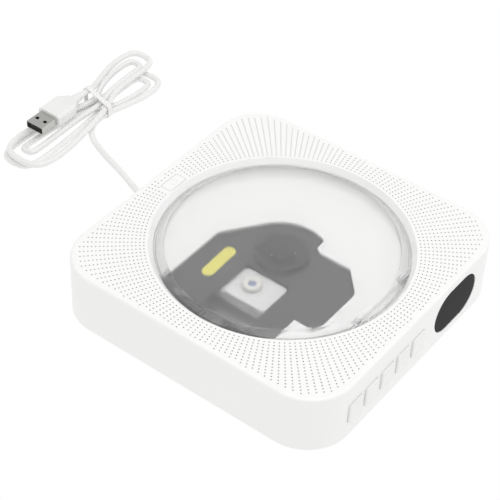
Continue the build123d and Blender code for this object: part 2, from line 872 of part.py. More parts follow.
with BuildPart() as gear_pin:
    with BuildSketch(Plane.XY.offset(gear_low - 0.8)):
        with Locations((gear_x, gear_y)):
            Circle(2)
    extrude(amount=0.6)
    with BuildSketch(Plane.XY.offset(gear_low - 0.2)):
        with Locations((gear_x, gear_y)):
            Circle(gear_pin_radius)
    extrude(amount=gear_high - gear_low + 0.4)
    with BuildSketch(Plane.XY.offset(gear_high + 0.2)):
        with Locations((gear_x, gear_y)):
            Circle(2.2)
    extrude(amount=deck_under - gear_high - 0.2)
save(gear_pin.part, "gear_pin")

with BuildPart() as motor_pinion:
    with BuildSketch(Plane.XY.offset(gear_low)):
        with Locations(Location((*motor_xy, 0), (0, 0, motor_angle + 180 + pinion_pitch / 2))):
            add(pinion_wheel)
    extrude(amount=1.8)
    with BuildSketch(Plane.XY.offset(gear_low)):
        with Locations(motor_xy):
            Circle(0.75)
    extrude(amount=6)
save(motor_pinion.part, "motor_pinion")

with BuildPart() as sled_motor:
    with BuildSketch(Plane.XY.offset(gear_step + 0.8)):
        with Locations(motor_xy):
            Circle(5.5)
    extrude(amount=deck_under - gear_step - 0.8)
    chamfer(sled_motor.edges().group_by(Axis.Z)[0], 0.5)
    with BuildSketch(Plane.XY.offset(gear_step + 0.8)):
        with Locations(motor_xy):
            Circle(0.75 + running_gap)
    extrude(amount=gear_low + 6.4 - gear_step - 0.8, mode=Mode.SUBTRACT)
save(sled_motor.part, "sled_motor")

with BuildPart() as guide_rods:
    with BuildSketch(Plane.YZ.offset(rod_left)):
        with Locations((front_rod_y, rod_z), (rear_rod_y, rod_z)):
            Circle(rod_radius)
    extrude(amount=rod_right - rod_left)
save(guide_rods.part, "guide_rods")

# Sled: carrier with two bearing arms and the rack, whose teeth mesh with the small wheel
sled_top = deck_under - 0.4
sled_low = 17.0
sled_front = slot_front + 1.5
sled_rear = slot_rear - 1.5
sled_middle = (sled_left + sled_right) / 2
arm_low = rod_z - 2.4
rack_high = arm_low
rack_low = gear_step + 0.3
rack_left = gear_x - 3
rack_right = gear_x + sled_travel + 3
rack_pitch = pi * gear_module
rack_count = int((rack_right - rack_left) / rack_pitch) - 1
rack_half_mid = (rack_pitch / 2 - 0.5 * gear_module) / 2
rack_first = gear_x + rack_pitch / 2
with BuildPart() as pickup_sled:
    with BuildSketch(Plane.XY.offset(sled_low)):
        with Locations((sled_middle, (sled_front + sled_rear) / 2)):
            RectangleRounded(sled_length, sled_rear - sled_front, 2)
    extrude(amount=sled_top - sled_low)
    with BuildSketch(Plane.XY.offset(arm_low)):
        with Locations((sled_middle, (sled_rear + rear_rod_y + 3) / 2 - 1)):
            Rectangle(sled_length, rear_rod_y + 5 - sled_rear)
        with Locations((sled_middle, (sled_front + front_rod_y - 3) / 2 + 1)):
            Rectangle(sled_length, sled_front - front_rod_y + 5)
    extrude(amount=4.7)
    with BuildSketch(Plane.XY.offset(rack_low)):
        with Locations(((rack_left + rack_right) / 2, rack_line_y + 1.8)):
            Rectangle(rack_right - rack_left, 2.2)
        for step in range(rack_count):
            with Locations((rack_first + (step - 1) * rack_pitch, rack_line_y)):
                Polygon(
                    (-rack_half_mid - 0.25, 0.9),
                    (-rack_half_mid + 0.24, -0.66),
                    (rack_half_mid - 0.24, -0.66),
                    (rack_half_mid + 0.25, 0.9),
                    align=None,
                )
    extrude(amount=rack_high - rack_low)
    with BuildSketch(Plane.XY.offset(rack_low)):
        with Locations((sled_middle, rack_line_y + 2.2)):
            Rectangle(sled_length, 3)
    extrude(amount=rack_high - rack_low + 0.6)
    with BuildSketch(Plane.YZ.offset(sled_left)):
        with Locations((front_rod_y, rod_z), (rear_rod_y, rod_z)):
            Circle(rod_radius + running_gap)
    extrude(amount=sled_length, mode=Mode.SUBTRACT)
    with BuildSketch(Plane.XY.offset(sled_top)):
        with Locations((-lens_start, 0)):
            Circle(3.6)
    extrude(amount=-3.5, mode=Mode.SUBTRACT)
save(pickup_sled.part, "pickup_sled")

# Lens holder, which moves up and down on the sled, and its lens
holder_low = sled_top + focus_travel + 0.1
holder_high = holder_low + 1.9
with BuildPart() as lens_holder:
    with BuildSketch(Plane.XY.offset(holder_low)):
        with Locations((-lens_start, 0)):
            Circle(5)
            Circle(2.05, mode=Mode.SUBTRACT)
    extrude(amount=holder_high - holder_low)
    chamfer(lens_holder.edges().group_by(Axis.Z)[-1], 0.4)
    with BuildSketch(Plane.XY.offset(holder_low)):
        with Locations((-lens_start, 0)):
            Circle(3.4)
            Circle(2.6, mode=Mode.SUBTRACT)
    extrude(amount=-2.2)
save(lens_holder.part, "lens_holder")

lens_dome = 0.9
lens_radius = 2.0
dome_radius = (lens_radius**2 + lens_dome**2) / (2 * lens_dome)
with BuildPart() as lens:
    with BuildSketch(Plane((-lens_start, 0, 0), x_dir=(1, 0, 0), z_dir=(0, -1, 0))):
        with BuildLine():
            Line((0, holder_low + 0.3), (lens_radius, holder_low + 0.3))
            Line((lens_radius, holder_low + 0.3), (lens_radius, holder_high - 0.6))
            RadiusArc((lens_radius, holder_high - 0.6), (0, holder_high - 0.6 + lens_dome), -dome_radius)
            Line((0, holder_high - 0.6 + lens_dome), (0, holder_low + 0.3))
        make_face()
    revolve(axis=Axis((-lens_start, 0, 0), (0, 0, 1)))
save(lens.part, "lens")

# Clear lid: flat top, bevel and skirt, with two hinge lugs and the latch notch
lid_profile = [
    (0, top_z),
    (lid_flat_radius, top_z),
    (lid_radius, top_z - lid_bevel_drop),
    (lid_radius, skirt_bottom),
    (lid_radius - lid_skirt_thick, skirt_bottom),
    (lid_radius - lid_skirt_thick, top_z - lid_bevel_drop - 0.6),
    (lid_flat_radius - 0.5, top_z - lid_thick),
    (0, top_z - lid_thick),
]
with BuildPart() as lid:
    for side in (-1, 1):
        with BuildSketch(Plane.YZ.offset(side * hinge_lug_inner)):
            with Locations((hinge_y, hinge_z)):
                Circle(hinge_lug_radius)
            with Locations((hinge_y + 0.6, hinge_z + 1)):
                Rectangle(2.6, 2.6)
        extrude(amount=side * (hinge_lug_outer - hinge_lug_inner))
    with BuildSketch(Plane.XZ):
        with BuildLine():
            Polyline((0, floor_z), (lid_radius, floor_z), *reversed(lid_profile[:3]), close=True)
        make_face()
    revolve(axis=Axis.Z, mode=Mode.INTERSECT)
    with BuildSketch(Plane.XZ):
        with BuildLine():
            Polyline(*lid_profile, close=True)
        make_face()
    revolve(axis=Axis.Z)
    for side in (-1, 1):
        with BuildSketch(Plane.YZ.offset(side * (hinge_lug_inner + 0.8))):
            with Locations((hinge_y, hinge_z)):
                Circle(hinge_pin_radius + 0.02)
        extrude(amount=side * 10, mode=Mode.SUBTRACT)
    with BuildSketch(Plane.XY.offset(nose_low - seat_gap)):
        with Locations((tab_x, lid_radius - 0.5)):
            Rectangle(2 * (latch_nose_half + 0.3), 4)
    extrude(amount=latch_high - nose_low + 2 * seat_gap, mode=Mode.SUBTRACT)
save(lid.part, "lid")

with BuildPart() as hinge_pins:
    for side in (-1, 1):
        with BuildSketch(Plane.YZ.offset(side * (hinge_lug_inner + 0.9))):
            with Locations((hinge_y, hinge_z)):
                Circle(hinge_pin_radius)
        extrude(amount=side * (hinge_pin_end - hinge_lug_inner - 0.9))
save(hinge_pins.part, "hinge_pins")

# Release tab: pressing it drives its wedge down and draws the latch back
wedge_front = tab_front_y + 1.7
wedge_half = 2.6
wedge_low = latch_low - 1.0
flange_thick = 0.8
flange_top = under_top - seat_gap
flange_low = flange_top - flange_thick
with BuildPart() as release_tab:
    with BuildSketch(Plane.XY.offset(flange_top)):
        with Locations((tab_x, tab_y)):
            RectangleRounded(tab_width, tab_depth, 1.0)
    extrude(amount=top_z - flange_top)
    with BuildSketch(Plane.XY.offset(flange_low)):
        with Locations((tab_x, tab_y)):
            Rectangle(tab_width + 2, tab_depth)
    extrude(amount=flange_top - flange_low)
    with BuildSketch(Plane.YZ.offset(tab_x - wedge_half)):
        with BuildLine():
            Polyline(
                (wedge_front, flange_low),
                (wedge_front, wedge_low),
                (wedge_front + 1.4, wedge_low),
                (wedge_front + 1.4 + flange_low - wedge_low, flange_low),
                close=True,
            )
        make_face()
    extrude(amount=2 * wedge_half)
    with BuildSketch(Plane.XY.offset(top_z)):
        with Locations((tab_x, tab_y)):
            Circle(2.2)
            Circle(1.8, mode=Mode.SUBTRACT)
    extrude(amount=-0.2, mode=Mode.SUBTRACT)
save(release_tab.part, "release_tab")

wedge_gap = 0.25
window_front = wedge_front - tab_travel - 0.4
wedge_rear = wedge_front + 1.4 + latch_low - wedge_low + wedge_gap
with BuildPart() as latch:
    with BuildSketch(Plane.YZ.offset(tab_x - latch_half_width)):
        with BuildLine():
            Polyline(
                (rim_radius + 0.9, latch_low),
                (latch_rear_y, latch_low),
                (latch_rear_y, latch_high),
                (rim_radius + 0.9, latch_high),
                close=True,
            )
        make_face()
    extrude(amount=2 * latch_half_width)
    with BuildSketch(Plane.XY.offset(nose_low)):
        with Locations((tab_x, (latch_nose_y + rim_radius + 1.4) / 2)):
            Rectangle(2 * latch_nose_half, rim_radius + 1.4 - latch_nose_y)
    extrude(amount=latch_high - nose_low)
    with BuildSketch(Plane.YZ.offset(tab_x - wedge_half - 0.3)):
        with BuildLine():
            Polyline(
                (window_front, latch_low),
                (wedge_rear, latch_low),
                (wedge_rear + latch_high - latch_low, latch_high),
                (window_front, latch_high),
                close=True,
            )
        make_face()
    extrude(amount=2 * (wedge_half + 0.3), mode=Mode.SUBTRACT)
save(latch.part, "latch")

# Two return springs between the rails and the tab's flange
spring_wire = 0.22
spring_radius = 0.9
spring_low = latch_low - seat_gap + spring_wire
spring_height = flange_low - spring_low - spring_wire
with BuildPart() as release_springs:
    for side in (-1, 1):
        spring_x = tab_x + side * 6.3
        with BuildLine() as coil:
            Helix(spring_height / 3, spring_height, spring_radius, center=(spring_x, tab_y, spring_low))
        with BuildSketch(Plane(origin=coil.line @ 0, z_dir=coil.line % 0)):
            RegularPolygon(spring_wire, 4)
        sweep(is_frenet=True)
save(release_springs.part, "release_springs")

# Strain relief of the captive lead, seen as a turned profile along Y
grommet_end = half_depth + grommet_nose
with BuildPart() as cord_grommet:
    with BuildSketch(Plane.YZ.offset(cord_x)):
        with BuildLine():
            Polyline(
                (inner_rear - 2.2, cord_z),
                (inner_rear - 2.2, cord_z + 4.5),
                (inner_rear - 0.2, cord_z + 4.5),
                (inner_rear - 0.2, cord_z + 3.3),
                (half_depth + 0.2, cord_z + 3.3),
                (half_depth + 0.2, cord_z + 4.2),
                (half_depth + 1.4, cord_z + 4.2),
                (half_depth + 2.2, cord_z + 3.2),
                (grommet_end, cord_z + cord_radius + 0.5),
                (grommet_end, cord_z),
                close=True,
            )
        make_face()
    revolve(axis=Axis((cord_x, 0, cord_z), (0, 1, 0)))
save(cord_grommet.part, "cord_grommet")

# Free stretch of the lead, laid by hand from the strain relief to the hank
waist_x = 55.0
waist_y = 172.0
strand_step = 4.5
rest_z = 1.8
layer_rise = 4.05
waist_lift = 0.95
waist_z = rest_z + waist_lift
hank_start = (waist_x - 4.5, waist_y - 1.5 * strand_step, waist_z)
lead_points = [
    (cord_x, grommet_end, cord_z),
    (cord_x, 97.0, cord_z),
    (11.5, 105.0, 3.6),
    (16.0, 113.5, 1.8),
    (20.9, 126.0, 1.85),
    (24.9, 138.6, 1.8),
    (28.2, 147.6, 1.85),
    (31.8, 155.4, 1.8),
    (37.4, 162.6, 2.0),
    (hank_start[0] - 6, hank_start[1], waist_z),
    hank_start,
]


def bend_radii(points):
    """The largest arc that each inner corner of a route can take."""
    radii = []
    for before, here, after in zip(points, points[1:], points[2:]):
        arriving = Vector(*here) - Vector(*before)
        leaving = Vector(*after) - Vector(*here)
        half_turn = radians(arriving.get_angle(leaving) / 2)
        radii.append(0.45 * min(arriving.length, leaving.length) / tan(half_turn))
    return radii


lead_radii = bend_radii(lead_points)
print("lead bend radii", [round(radius, 1) for radius in lead_radii])
with BuildPart() as cord_lead:
    with BuildLine() as lead_path:
        FilletPolyline(*lead_points, radius=lead_radii)
    with BuildSketch(Plane(origin=lead_path.line @ 0, z_dir=lead_path.line % 0)) as lead_section:
        RegularPolygon(cord_radius, cord_sides)
    sweep()
lead_length = lead_path.wires()[0].length
section_area = lead_section.sketch.area
print("lead length", round(lead_length, 1), "volume ratio", round(cord_lead.part.volume / section_area / lead_length, 4))
save(cord_lead.part, "cord_lead")

# Hank: one tube whose turns pass the waist side by side in two layers.
# Each lobe gives the reach of its tip, then how far its outgoing and returning strands stand off.
right_lobes = [(49.0, -13.2, 9.3), (43.0, -7.6, 4.5), (50.0, 3.0, 14.9), (57.0, -2.2, 20.4)]
left_lobes = [(-66.5, 14.9, -5.4), (-56.0, 8.6, -0.2), (-66.0, 14.5, -14.0)]
plug_side = 7.5
plug_z = 12.4
strain_relief_end = waist_x - 5.5
last_climb = 1.2


def layer_height(layer):
    """Height of a layer's centre line away from the tie."""
    return rest_z + layer * layer_rise


def lobe_stations(lobe, enter_z, leave_z):
    """Three stations of a lobe: widest going out, tip, and widest coming back."""
    reach, side_out, side_back = lobe
    way = 1 if reach > 0 else -1
    turn = 1 if side_back > side_out else -1
    middle = (side_out + side_back) / 2
    return [
        ((0.62 * reach, side_out, enter_z), (way, 0, 0)),
        ((reach, middle, (enter_z + leave_z) / 2), (0, turn, 0)),
        ((0.62 * reach, side_back, leave_z), (-way, 0, 0)),
    ]


def hank_stations():
    """All points of the hank in order, each with the direction of the cord there."""
    stations = [((0, -1.5 * strand_step, waist_z), (1, 0, 0))]
    sides = [1.5, 0.5, 0.5]
    backs = [-0.5, -0.5, -1.5]
    for turn in range(4):
        layer = turn // 2
        high = layer_height(layer)
        if turn == 3:
            stations += lobe_stations(right_lobes[turn], high, high + last_climb)
            break
        stations += lobe_stations(right_lobes[turn], high, high)
        stations.append(((0, sides[turn] * strand_step, high + waist_lift), (-1, 0, 0)))
        next_layer = (turn + 1) // 2
        stations += lobe_stations(left_lobes[turn], high, layer_height(next_layer))
        next_z = layer_height(next_layer) + waist_lift
        stations.append(((0, backs[turn] * strand_step, next_z), (1, 0, 0)))
    stations.append(((-1.5, plug_side, plug_z), (-1, 0, 0)))
    return [(Vector(x + waist_x, y + waist_y, z), Vector(*way)) for (x, y, z), way in stations]


def join_with_biarc(start, start_way, end, end_way):
    """Two tangent arcs from one point and direction to the next."""
    span = end - start
    both = start_way + end_way
    bend = 2 * (1 - start_way.dot(end_way))
    if bend < 1e-6:
        reach = span.dot(span) / (4 * span.dot(start_way))
    else:
        lean = span.dot(both)
        reach = (sqrt(lean**2 + bend * span.dot(span)) - lean) / bend
    first = start + start_way * reach
    second = end - end_way * reach
    joint = (first + second) * 0.5
    TangentArc(start, joint, tangent=start_way)
    TangentArc(joint, end, tangent=(second - first).normalized())


with BuildPart() as cord_hank:
    with BuildLine() as hank_path:
        places = hank_stations()
        Line(Vector(*hank_start), places[0][0])
        for (here, way), (after, after_way) in zip(places, places[1:]):
            join_with_biarc(here, way, after, after_way)
        Line(places[-1][0], (strain_relief_end, waist_y + plug_side, plug_z))
    with BuildSketch(Plane(origin=hank_path.line @ 0, z_dir=hank_path.line % 0)):
        RegularPolygon(cord_radius, cord_sides)
    sweep()
hank_wire = hank_path.wires()[0]
hank_length = hank_wire.length
print("hank length", round(hank_length, 1), "volume ratio", round(cord_hank.part.volume / section_area / hank_length, 4))


def least_gap(wire, length, thickness, step=1.5, apart=16):
    """Least distance between strands of one tube, measured on points along it."""
    count = int(length / step)
    points = [wire.position_at(i / count) for i in range(count + 1)]
    far = int(apart / step)
    least = min(
        (points[i] - points[j]).length for i in range(count + 1) for j in range(i + far, count + 1)
    )
    return least - thickness


print("hank gap to itself", round(least_gap(hank_wire, hank_length, 2 * cord_radius), 2))
save(cord_hank.part, "cord_hank")

# Tie round the waist of the hank
tie_width = 3.0
tie_thick = 0.6
tie_gap = 0.3
waist_strands = [
    (waist_y + side * strand_step, height)
    for side in (-1.5, 1.5)
    for height in (waist_z, waist_z + layer_rise)
] + [(waist_y + plug_side, plug_z - 0.3)]
with BuildPart() as cord_tie:
    with BuildSketch(Plane.YZ.offset(waist_x - tie_width / 2)) as tie_section:
        with BuildSketch(mode=Mode.PRIVATE) as tie_outside:
            with Locations(*waist_strands):
                Circle(cord_radius + tie_gap + tie_thick)
            make_hull()
        with BuildSketch(mode=Mode.PRIVATE) as tie_inside:
            with Locations(*waist_strands):
                Circle(cord_radius + tie_gap)
            make_hull()
        add(tie_outside.sketch)
        add(tie_inside.sketch, mode=Mode.SUBTRACT)
    extrude(amount=tie_width)
save(cord_tie.part, "cord_tie")

# USB plug at the end of the lead, pointing to -X
plug_y = waist_y + plug_side
relief_length = 8.0
overmould_length = 20.0
overmould_width = 15.5
overmould_height = 8.0
shell_width = 12.0
shell_thick = 4.5
shell_length = 12.0
sheet = 0.3
overmould_end = strain_relief_end - relief_length
shell_start = overmould_end - overmould_length
with BuildPart() as usb_overmould:
    with BuildSketch(Plane.YZ.offset(shell_start)):
        with Locations((plug_y, plug_z)):
            RectangleRounded(overmould_width, overmould_height, 2.4)
    with BuildSketch(Plane.YZ.offset(shell_start + 0.72 * overmould_length)):
        with Locations((plug_y, plug_z)):
            RectangleRounded(overmould_width, overmould_height, 2.4)
    loft()
    with BuildSketch(Plane.YZ.offset(shell_start + 0.72 * overmould_length)):
        with Locations((plug_y, plug_z)):
            RectangleRounded(overmould_width, overmould_height, 2.4)
    with BuildSketch(Plane.YZ.offset(overmould_end)):
        with Locations((plug_y, plug_z)):
            RectangleRounded(7.6, 6.4, 2.4)
    loft()
    with BuildSketch(Plane.XY.offset(plug_z)):
        with BuildLine():
            Polyline(
                (overmould_end, plug_y),
                (overmould_end, plug_y + 3.1),
                (strain_relief_end, plug_y + cord_radius + 0.4),
                (strain_relief_end, plug_y),
                close=True,
            )
        make_face()
    revolve(axis=Axis((0, plug_y, plug_z), (1, 0, 0)))
save(usb_overmould.part, "usb_overmould")

with BuildPart() as usb_shell:
    with BuildSketch(Plane.YZ.offset(shell_start)):
        with Locations((plug_y, plug_z)):
            RectangleRounded(shell_width, shell_thick, 0.5)
            RectangleRounded(shell_width - 2 * sheet, shell_thick - 2 * sheet, 0.3, mode=Mode.SUBTRACT)
    extrude(amount=-shell_length)
    with BuildSketch(Plane.XY.offset(plug_z)):
        with Locations((shell_start - 6.4, plug_y - 2.9), (shell_start - 6.4, plug_y + 2.9)):
            Rectangle(2.0, 2.2)
    extrude(amount=shell_thick, mode=Mode.SUBTRACT)
save(usb_shell.part, "usb_shell")

with BuildPart() as usb_tongue:
    with BuildSketch(Plane.YZ.offset(shell_start)):
        with Locations((plug_y, plug_z - 0.9)):
            Rectangle(shell_width - 2 * sheet - 0.3, 1.9)
    extrude(amount=-shell_length + 1.4)
save(usb_tongue.part, "usb_tongue")

print("whole lead", round(lead_length + hank_length, 1), "mm")
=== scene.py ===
"""Looks of a white disc player with a clear lid, a round grille and a tied USB lead.

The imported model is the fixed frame. This file gives its nodes their finishes, cuts the full grille into
the moulded shell, rounds and frosts the clear lid, turns the bare label, lays the lead, and sets a plain
pale studio round them. Sizes are in millimetres where nothing else is said.
"""

import logging
import math
from dataclasses import dataclass
from enum import Enum
from typing import Any

import bmesh
import bpy
import numpy as np
from mathutils import Matrix, Vector
from mathutils.geometry import delaunay_2d_cdt


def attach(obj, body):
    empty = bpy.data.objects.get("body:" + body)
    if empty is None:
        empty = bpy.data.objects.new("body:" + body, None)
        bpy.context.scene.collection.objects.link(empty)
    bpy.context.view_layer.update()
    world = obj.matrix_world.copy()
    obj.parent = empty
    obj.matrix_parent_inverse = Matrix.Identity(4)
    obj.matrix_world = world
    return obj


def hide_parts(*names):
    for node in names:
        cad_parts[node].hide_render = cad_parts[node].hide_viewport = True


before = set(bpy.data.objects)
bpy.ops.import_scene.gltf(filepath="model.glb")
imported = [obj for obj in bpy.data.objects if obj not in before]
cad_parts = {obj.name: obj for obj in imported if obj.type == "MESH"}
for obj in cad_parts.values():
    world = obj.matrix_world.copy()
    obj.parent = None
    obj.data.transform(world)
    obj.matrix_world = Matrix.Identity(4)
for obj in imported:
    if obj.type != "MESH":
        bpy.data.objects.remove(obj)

# X, Y and Z of a point or a direction
Point = tuple[float, float, float]
# Reach, outgoing side and returning side of a lobe of the lead
Lobe = tuple[float, float, float]
# A material's node tree, and an input or output of one of its nodes
Tree = bpy.types.NodeTree
Socket = bpy.types.NodeSocket

MM = 0.001
TAU = 2 * math.pi
# Corners nearer to each other than this are one corner, in metres
SAME_CORNER = 2e-6
# Corners less than this above or below a level count as on it, in metres
ON_LEVEL = 1e-6
HOUSING = "housing"
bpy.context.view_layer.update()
log = logging.getLogger("disc_player")


def linear(hex_colour: str) -> tuple[float, float, float, float]:
    """Turns an sRGB hex colour to linear light.

    A value up to 0.04045 is divided by 12.92, and a greater one is moved up by 0.055, divided by 1.055
    and raised to the power of 2.4.

    Args:
        hex_colour: Six hex digits, such as "f2f2f2".

    Returns:
        Red, green, blue and an alpha of 1.
    """
    srgb = np.array([int(hex_colour[i : i + 2], 16) for i in (0, 2, 4)]) / 255
    light = np.where(srgb <= 0.04045, srgb / 12.92, ((srgb + 0.055) / 1.055) ** 2.4)
    return (*(float(value) for value in light), 1.0)


def add_node(tree: Tree, kind: str, settings: dict[str, Any], links: dict[str, Socket]) -> bpy.types.Node:
    """Adds one shader node with its settings and its links.

    Args:
        tree: The material's node tree.
        kind: The node's type, such as "ShaderNodeTexNoise".
        settings: Values by attribute name, or by input name where the node has no such attribute.
        links: Sockets that feed this node's inputs, by input name.

    Returns:
        The new node.
    """
    node = tree.nodes.new(kind)
    for name, value in settings.items():
        if hasattr(node, name):
            setattr(node, name, value)
        else:
            node.inputs[name].default_value = value
    for name, socket in links.items():
        tree.links.new(socket, node.inputs[name])
    return node


@dataclass(frozen=True)
class Finish:
    """A surface finish: a principled shader with a fine grain in its bump and roughness.

    Attributes:
        name: The material's name, after the real material.
        colour: Base colour as sRGB hex.
        roughness: Mean roughness.
        metallic: 1 for a bare metal.
        ior: Index of refraction.
        grain_mm: Width of the surface grain.
        grain_height_mm: Height of the grain.
        unevenness: How much the roughness wanders.
        shade: How much darker the darkest mottling is, as a share of the colour.
        mottle_mm: Width of the mottling.
        mottle_ends: Values of the mottling's noise at which it is darkest and plain.
        coat: Weight of a clear gloss coat.
        coat_roughness: Roughness of that coat.
        sheen: Weight of a soft sheen.
        alpha: Opacity.
        transmission: Weight of clear transmission.
        subsurface: Weight of light spread under the surface.
        spread_mm: How far that light spreads.
        specular: Share of the mirror reflection, 0.5 being the plain one for its index.
    """

    name: str
    colour: str
    roughness: float = 0.4
    metallic: float = 0.0
    ior: float = 1.5
    grain_mm: float = 0.5
    grain_height_mm: float = 0.004
    unevenness: float = 0.06
    shade: float = 0.03
    mottle_mm: float = 18.0
    mottle_ends: tuple[float, float] = (0.3, 0.7)
    coat: float = 0.0
    coat_roughness: float = 0.08
    sheen: float = 0.0
    alpha: float = 1.0
    transmission: float = 0.0
    subsurface: float = 0.0
    spread_mm: float = 0.6
    specular: float = 0.5

    def colour_socket(self, tree: Tree, place: Socket) -> Socket:
        """Mixes the base colour with its mottling: a soft noise, from darker to plain.

        Args:
            tree: The material's node tree.
            place: The coordinate socket.

        Returns:
            A colour socket.
        """
        cloud = add_node(
            tree,
            "ShaderNodeTexNoise",
            {"Scale": 1 / (self.mottle_mm * MM), "Detail": 3.0, "Roughness": 0.5},
            {"Vector": place},
        )
        plain = linear(self.colour)
        dark = (*(value * (1 - self.shade) for value in plain[:3]), 1.0)
        ramp = add_node(tree, "ShaderNodeValToRGB", {}, {"Fac": cloud.outputs["Fac"]})
        for stop, position, colour in zip(ramp.color_ramp.elements, self.mottle_ends, (dark, plain)):
            stop.position = position
            stop.color = colour
        return ramp.outputs["Color"]

    def height_socket(self, tree: Tree, place: Socket) -> Socket:
        """The grain's height, from 0 to 1: a fine noise.

        Args:
            tree: The material's node tree.
            place: The coordinate socket.

        Returns:
            A value socket.
        """
        grain = add_node(
            tree,
            "ShaderNodeTexNoise",
            {"Scale": 1 / (self.grain_mm * MM), "Detail": 2.0},
            {"Vector": place},
        )
        return grain.outputs["Fac"]

    def build(self) -> bpy.types.Material:
        """Makes the material, once, and gives it back on each later call.

        Returns:
            The material.
        """
        if self.name in bpy.data.materials:
            return bpy.data.materials[self.name]
        material = bpy.data.materials.new(self.name)
        material.use_nodes = True
        tree = material.node_tree
        shader = tree.nodes["Principled BSDF"]
        place = add_node(tree, "ShaderNodeTexCoord", {}, {}).outputs["Object"]
        height = self.height_socket(tree, place)
        bump = add_node(
            tree,
            "ShaderNodeBump",
            {"Strength": 1.0, "Distance": self.grain_height_mm * MM},
            {"Height": height},
        )
        rough = add_node(
            tree,
            "ShaderNodeMapRange",
            {"To Min": self.roughness - self.unevenness, "To Max": self.roughness + self.unevenness},
            {"Value": height},
        )
        tree.links.new(self.colour_socket(tree, place), shader.inputs["Base Color"])
        tree.links.new(bump.outputs["Normal"], shader.inputs["Normal"])
        tree.links.new(rough.outputs["Result"], shader.inputs["Roughness"])
        steady = {
            "Metallic": self.metallic,
            "IOR": self.ior,
            "Coat Weight": self.coat,
            "Coat Roughness": self.coat_roughness,
            "Sheen Weight": self.sheen,
            "Alpha": self.alpha,
            "Transmission Weight": self.transmission,
            "Subsurface Weight": self.subsurface,
            "Subsurface Scale": self.spread_mm * MM,
            "Specular IOR Level": self.specular,
        }
        for socket, value in steady.items():
            shader.inputs[socket].default_value = value
        return material


@dataclass(frozen=True)
class BrushedMetal(Finish):
    """A metal brushed along X.

    Attributes:
        stretch: How many times longer than wide its grain is.
    """

    stretch: float = 30.0

    def height_socket(self, tree: Tree, place: Socket) -> Socket:
        """The brushing's height: the fine noise of the plain grain, drawn out along X.

        Args:
            tree: The material's node tree.
            place: The coordinate socket.

        Returns:
            A value socket.
        """
        drawn_out = add_node(
            tree, "ShaderNodeMapping", {"Scale": (1 / self.stretch, 1.0, 1.0)}, {"Vector": place}
        )
        return super().height_socket(tree, drawn_out.outputs["Vector"])


# White ABS, moulded against a fine spark-eroded tool: an even satin white
WHITE_ABS = Finish("white_moulded_abs", "fbfbfa", 0.36, ior=1.53, grain_mm=0.35, grain_height_mm=0.003,
                   shade=0.012, coat=0.08)
# The same ABS from a polished part of the tool, on the keys: a little glossier than the shell
KEY_ABS = Finish("white_key_abs", "f7f7f6", 0.26, ior=1.53, grain_mm=0.4, grain_height_mm=0.002, coat=0.2)
# Woven speaker cloth at the foot of the grille holes: dull. Its light grey is painted light, standing in for
# the light that falls into the small holes; the cloth itself is dark
GRILLE_CLOTH_PAINTED_LIGHT = Finish("grey_speaker_cloth", "d2d2d2", 0.9, grain_mm=0.3, grain_height_mm=0.05, sheen=0.3)
# Clear polystyrene, polished: glassy with bright edges
CLEAR_STYRENE = Finish("clear_polished_styrene", "ffffff", 0.03, ior=1.59, grain_mm=2.0,
                       grain_height_mm=0.0, unevenness=0.01, shade=0.0, transmission=0.9, alpha=0.6)
# The lid's flat pane, etched: a thin even white haze over what lies below. Light leaves a flat pane in
# the direction in which it came, so its two faces together bend nothing and have an index near 1
FROSTED_STYRENE = Finish("frosted_styrene", "ffffff", 0.34, ior=1.04, grain_mm=0.3, grain_height_mm=0.0,
                         unevenness=0.02, shade=0.0, transmission=0.87, alpha=0.68, specular=0.3)
# Smoked acrylic window, polished: black and even
BLACK_ACRYLIC = Finish("black_polished_acrylic", "151618", 0.12, ior=1.49, grain_mm=6.0,
                       grain_height_mm=0.001, unevenness=0.02, specular=0.02)
# Dark grey filled ABS of the drive deck: dull, with a fine even grain
DECK_ABS = Finish("dark_grey_filled_abs", "454547", 0.55, grain_mm=0.5, grain_height_mm=0.012,
                  shade=0.08, mottle_mm=9.0)
# Turned black acetal of the hub: deep black with a soft shine
HUB_ACETAL = Finish("black_hub_acetal", "0f0f10", 0.42, ior=1.48, grain_mm=0.6)
# Black moulded ABS of small parts: a plain satin black
BLACK_ABS = Finish("black_moulded_abs", "202022", 0.45)
# Die-cast zinc of the pickup carrier under a pale lacquer: whitish, with little of the metal's gloss
CAST_ZINC = Finish("die_cast_zinc", "ececec", 0.5, metallic=0.1, grain_mm=0.8, grain_height_mm=0.01)
# Label film with a satin varnish: a flat, even yellow
YELLOW_FILM = Finish("yellow_label_film", "efe766", 0.4, ior=1.46, shade=0.04, mottle_mm=4.0)
# Extruded soft white PVC of the lead: a little waxy and matt
SOFT_PVC = Finish("soft_white_pvc", "f2f2f1", 0.38, ior=1.53, grain_mm=0.8, grain_height_mm=0.002, coat=0.05)
# Moulded nylon of the tie: smooth, with light spread a little way into it
TIE_NYLON = Finish("white_tie_nylon", "f4f4f2", 0.32, ior=1.53, subsurface=0.1)
# Nickel on stamped steel: bright, with fine drawing lines
NICKEL = BrushedMetal("nickel_plated_steel", "c9c9c6", 0.26, metallic=1.0, grain_mm=0.4,
                      grain_height_mm=0.001, unevenness=0.05)
# Ground and polished steel of pins, rods and balls: mirror bright
POLISHED_STEEL = Finish("polished_steel", "d4d5d7", 0.12, metallic=1.0, grain_height_mm=0.0005)
# Zinc plate on screws and motor cans: a soft bluish grey shine
ZINC_PLATE = Finish("zinc_plated_steel", "b4b6b8", 0.32, metallic=1.0, grain_mm=0.7)
# Moulded black rubber of feet and dampers: dull, with a faint dusty sheen
RUBBER = Finish("black_foot_rubber", "232324", 0.75, ior=1.52, grain_mm=0.6, grain_height_mm=0.02, sheen=0.1)
# Green solder lacquer over copper tracks: glossy, lighter and darker where tracks run below
BOARD_LACQUER = Finish("green_board_lacquer", "1f5a35", 0.3, coat=0.3, shade=0.2, mottle_mm=3.0)
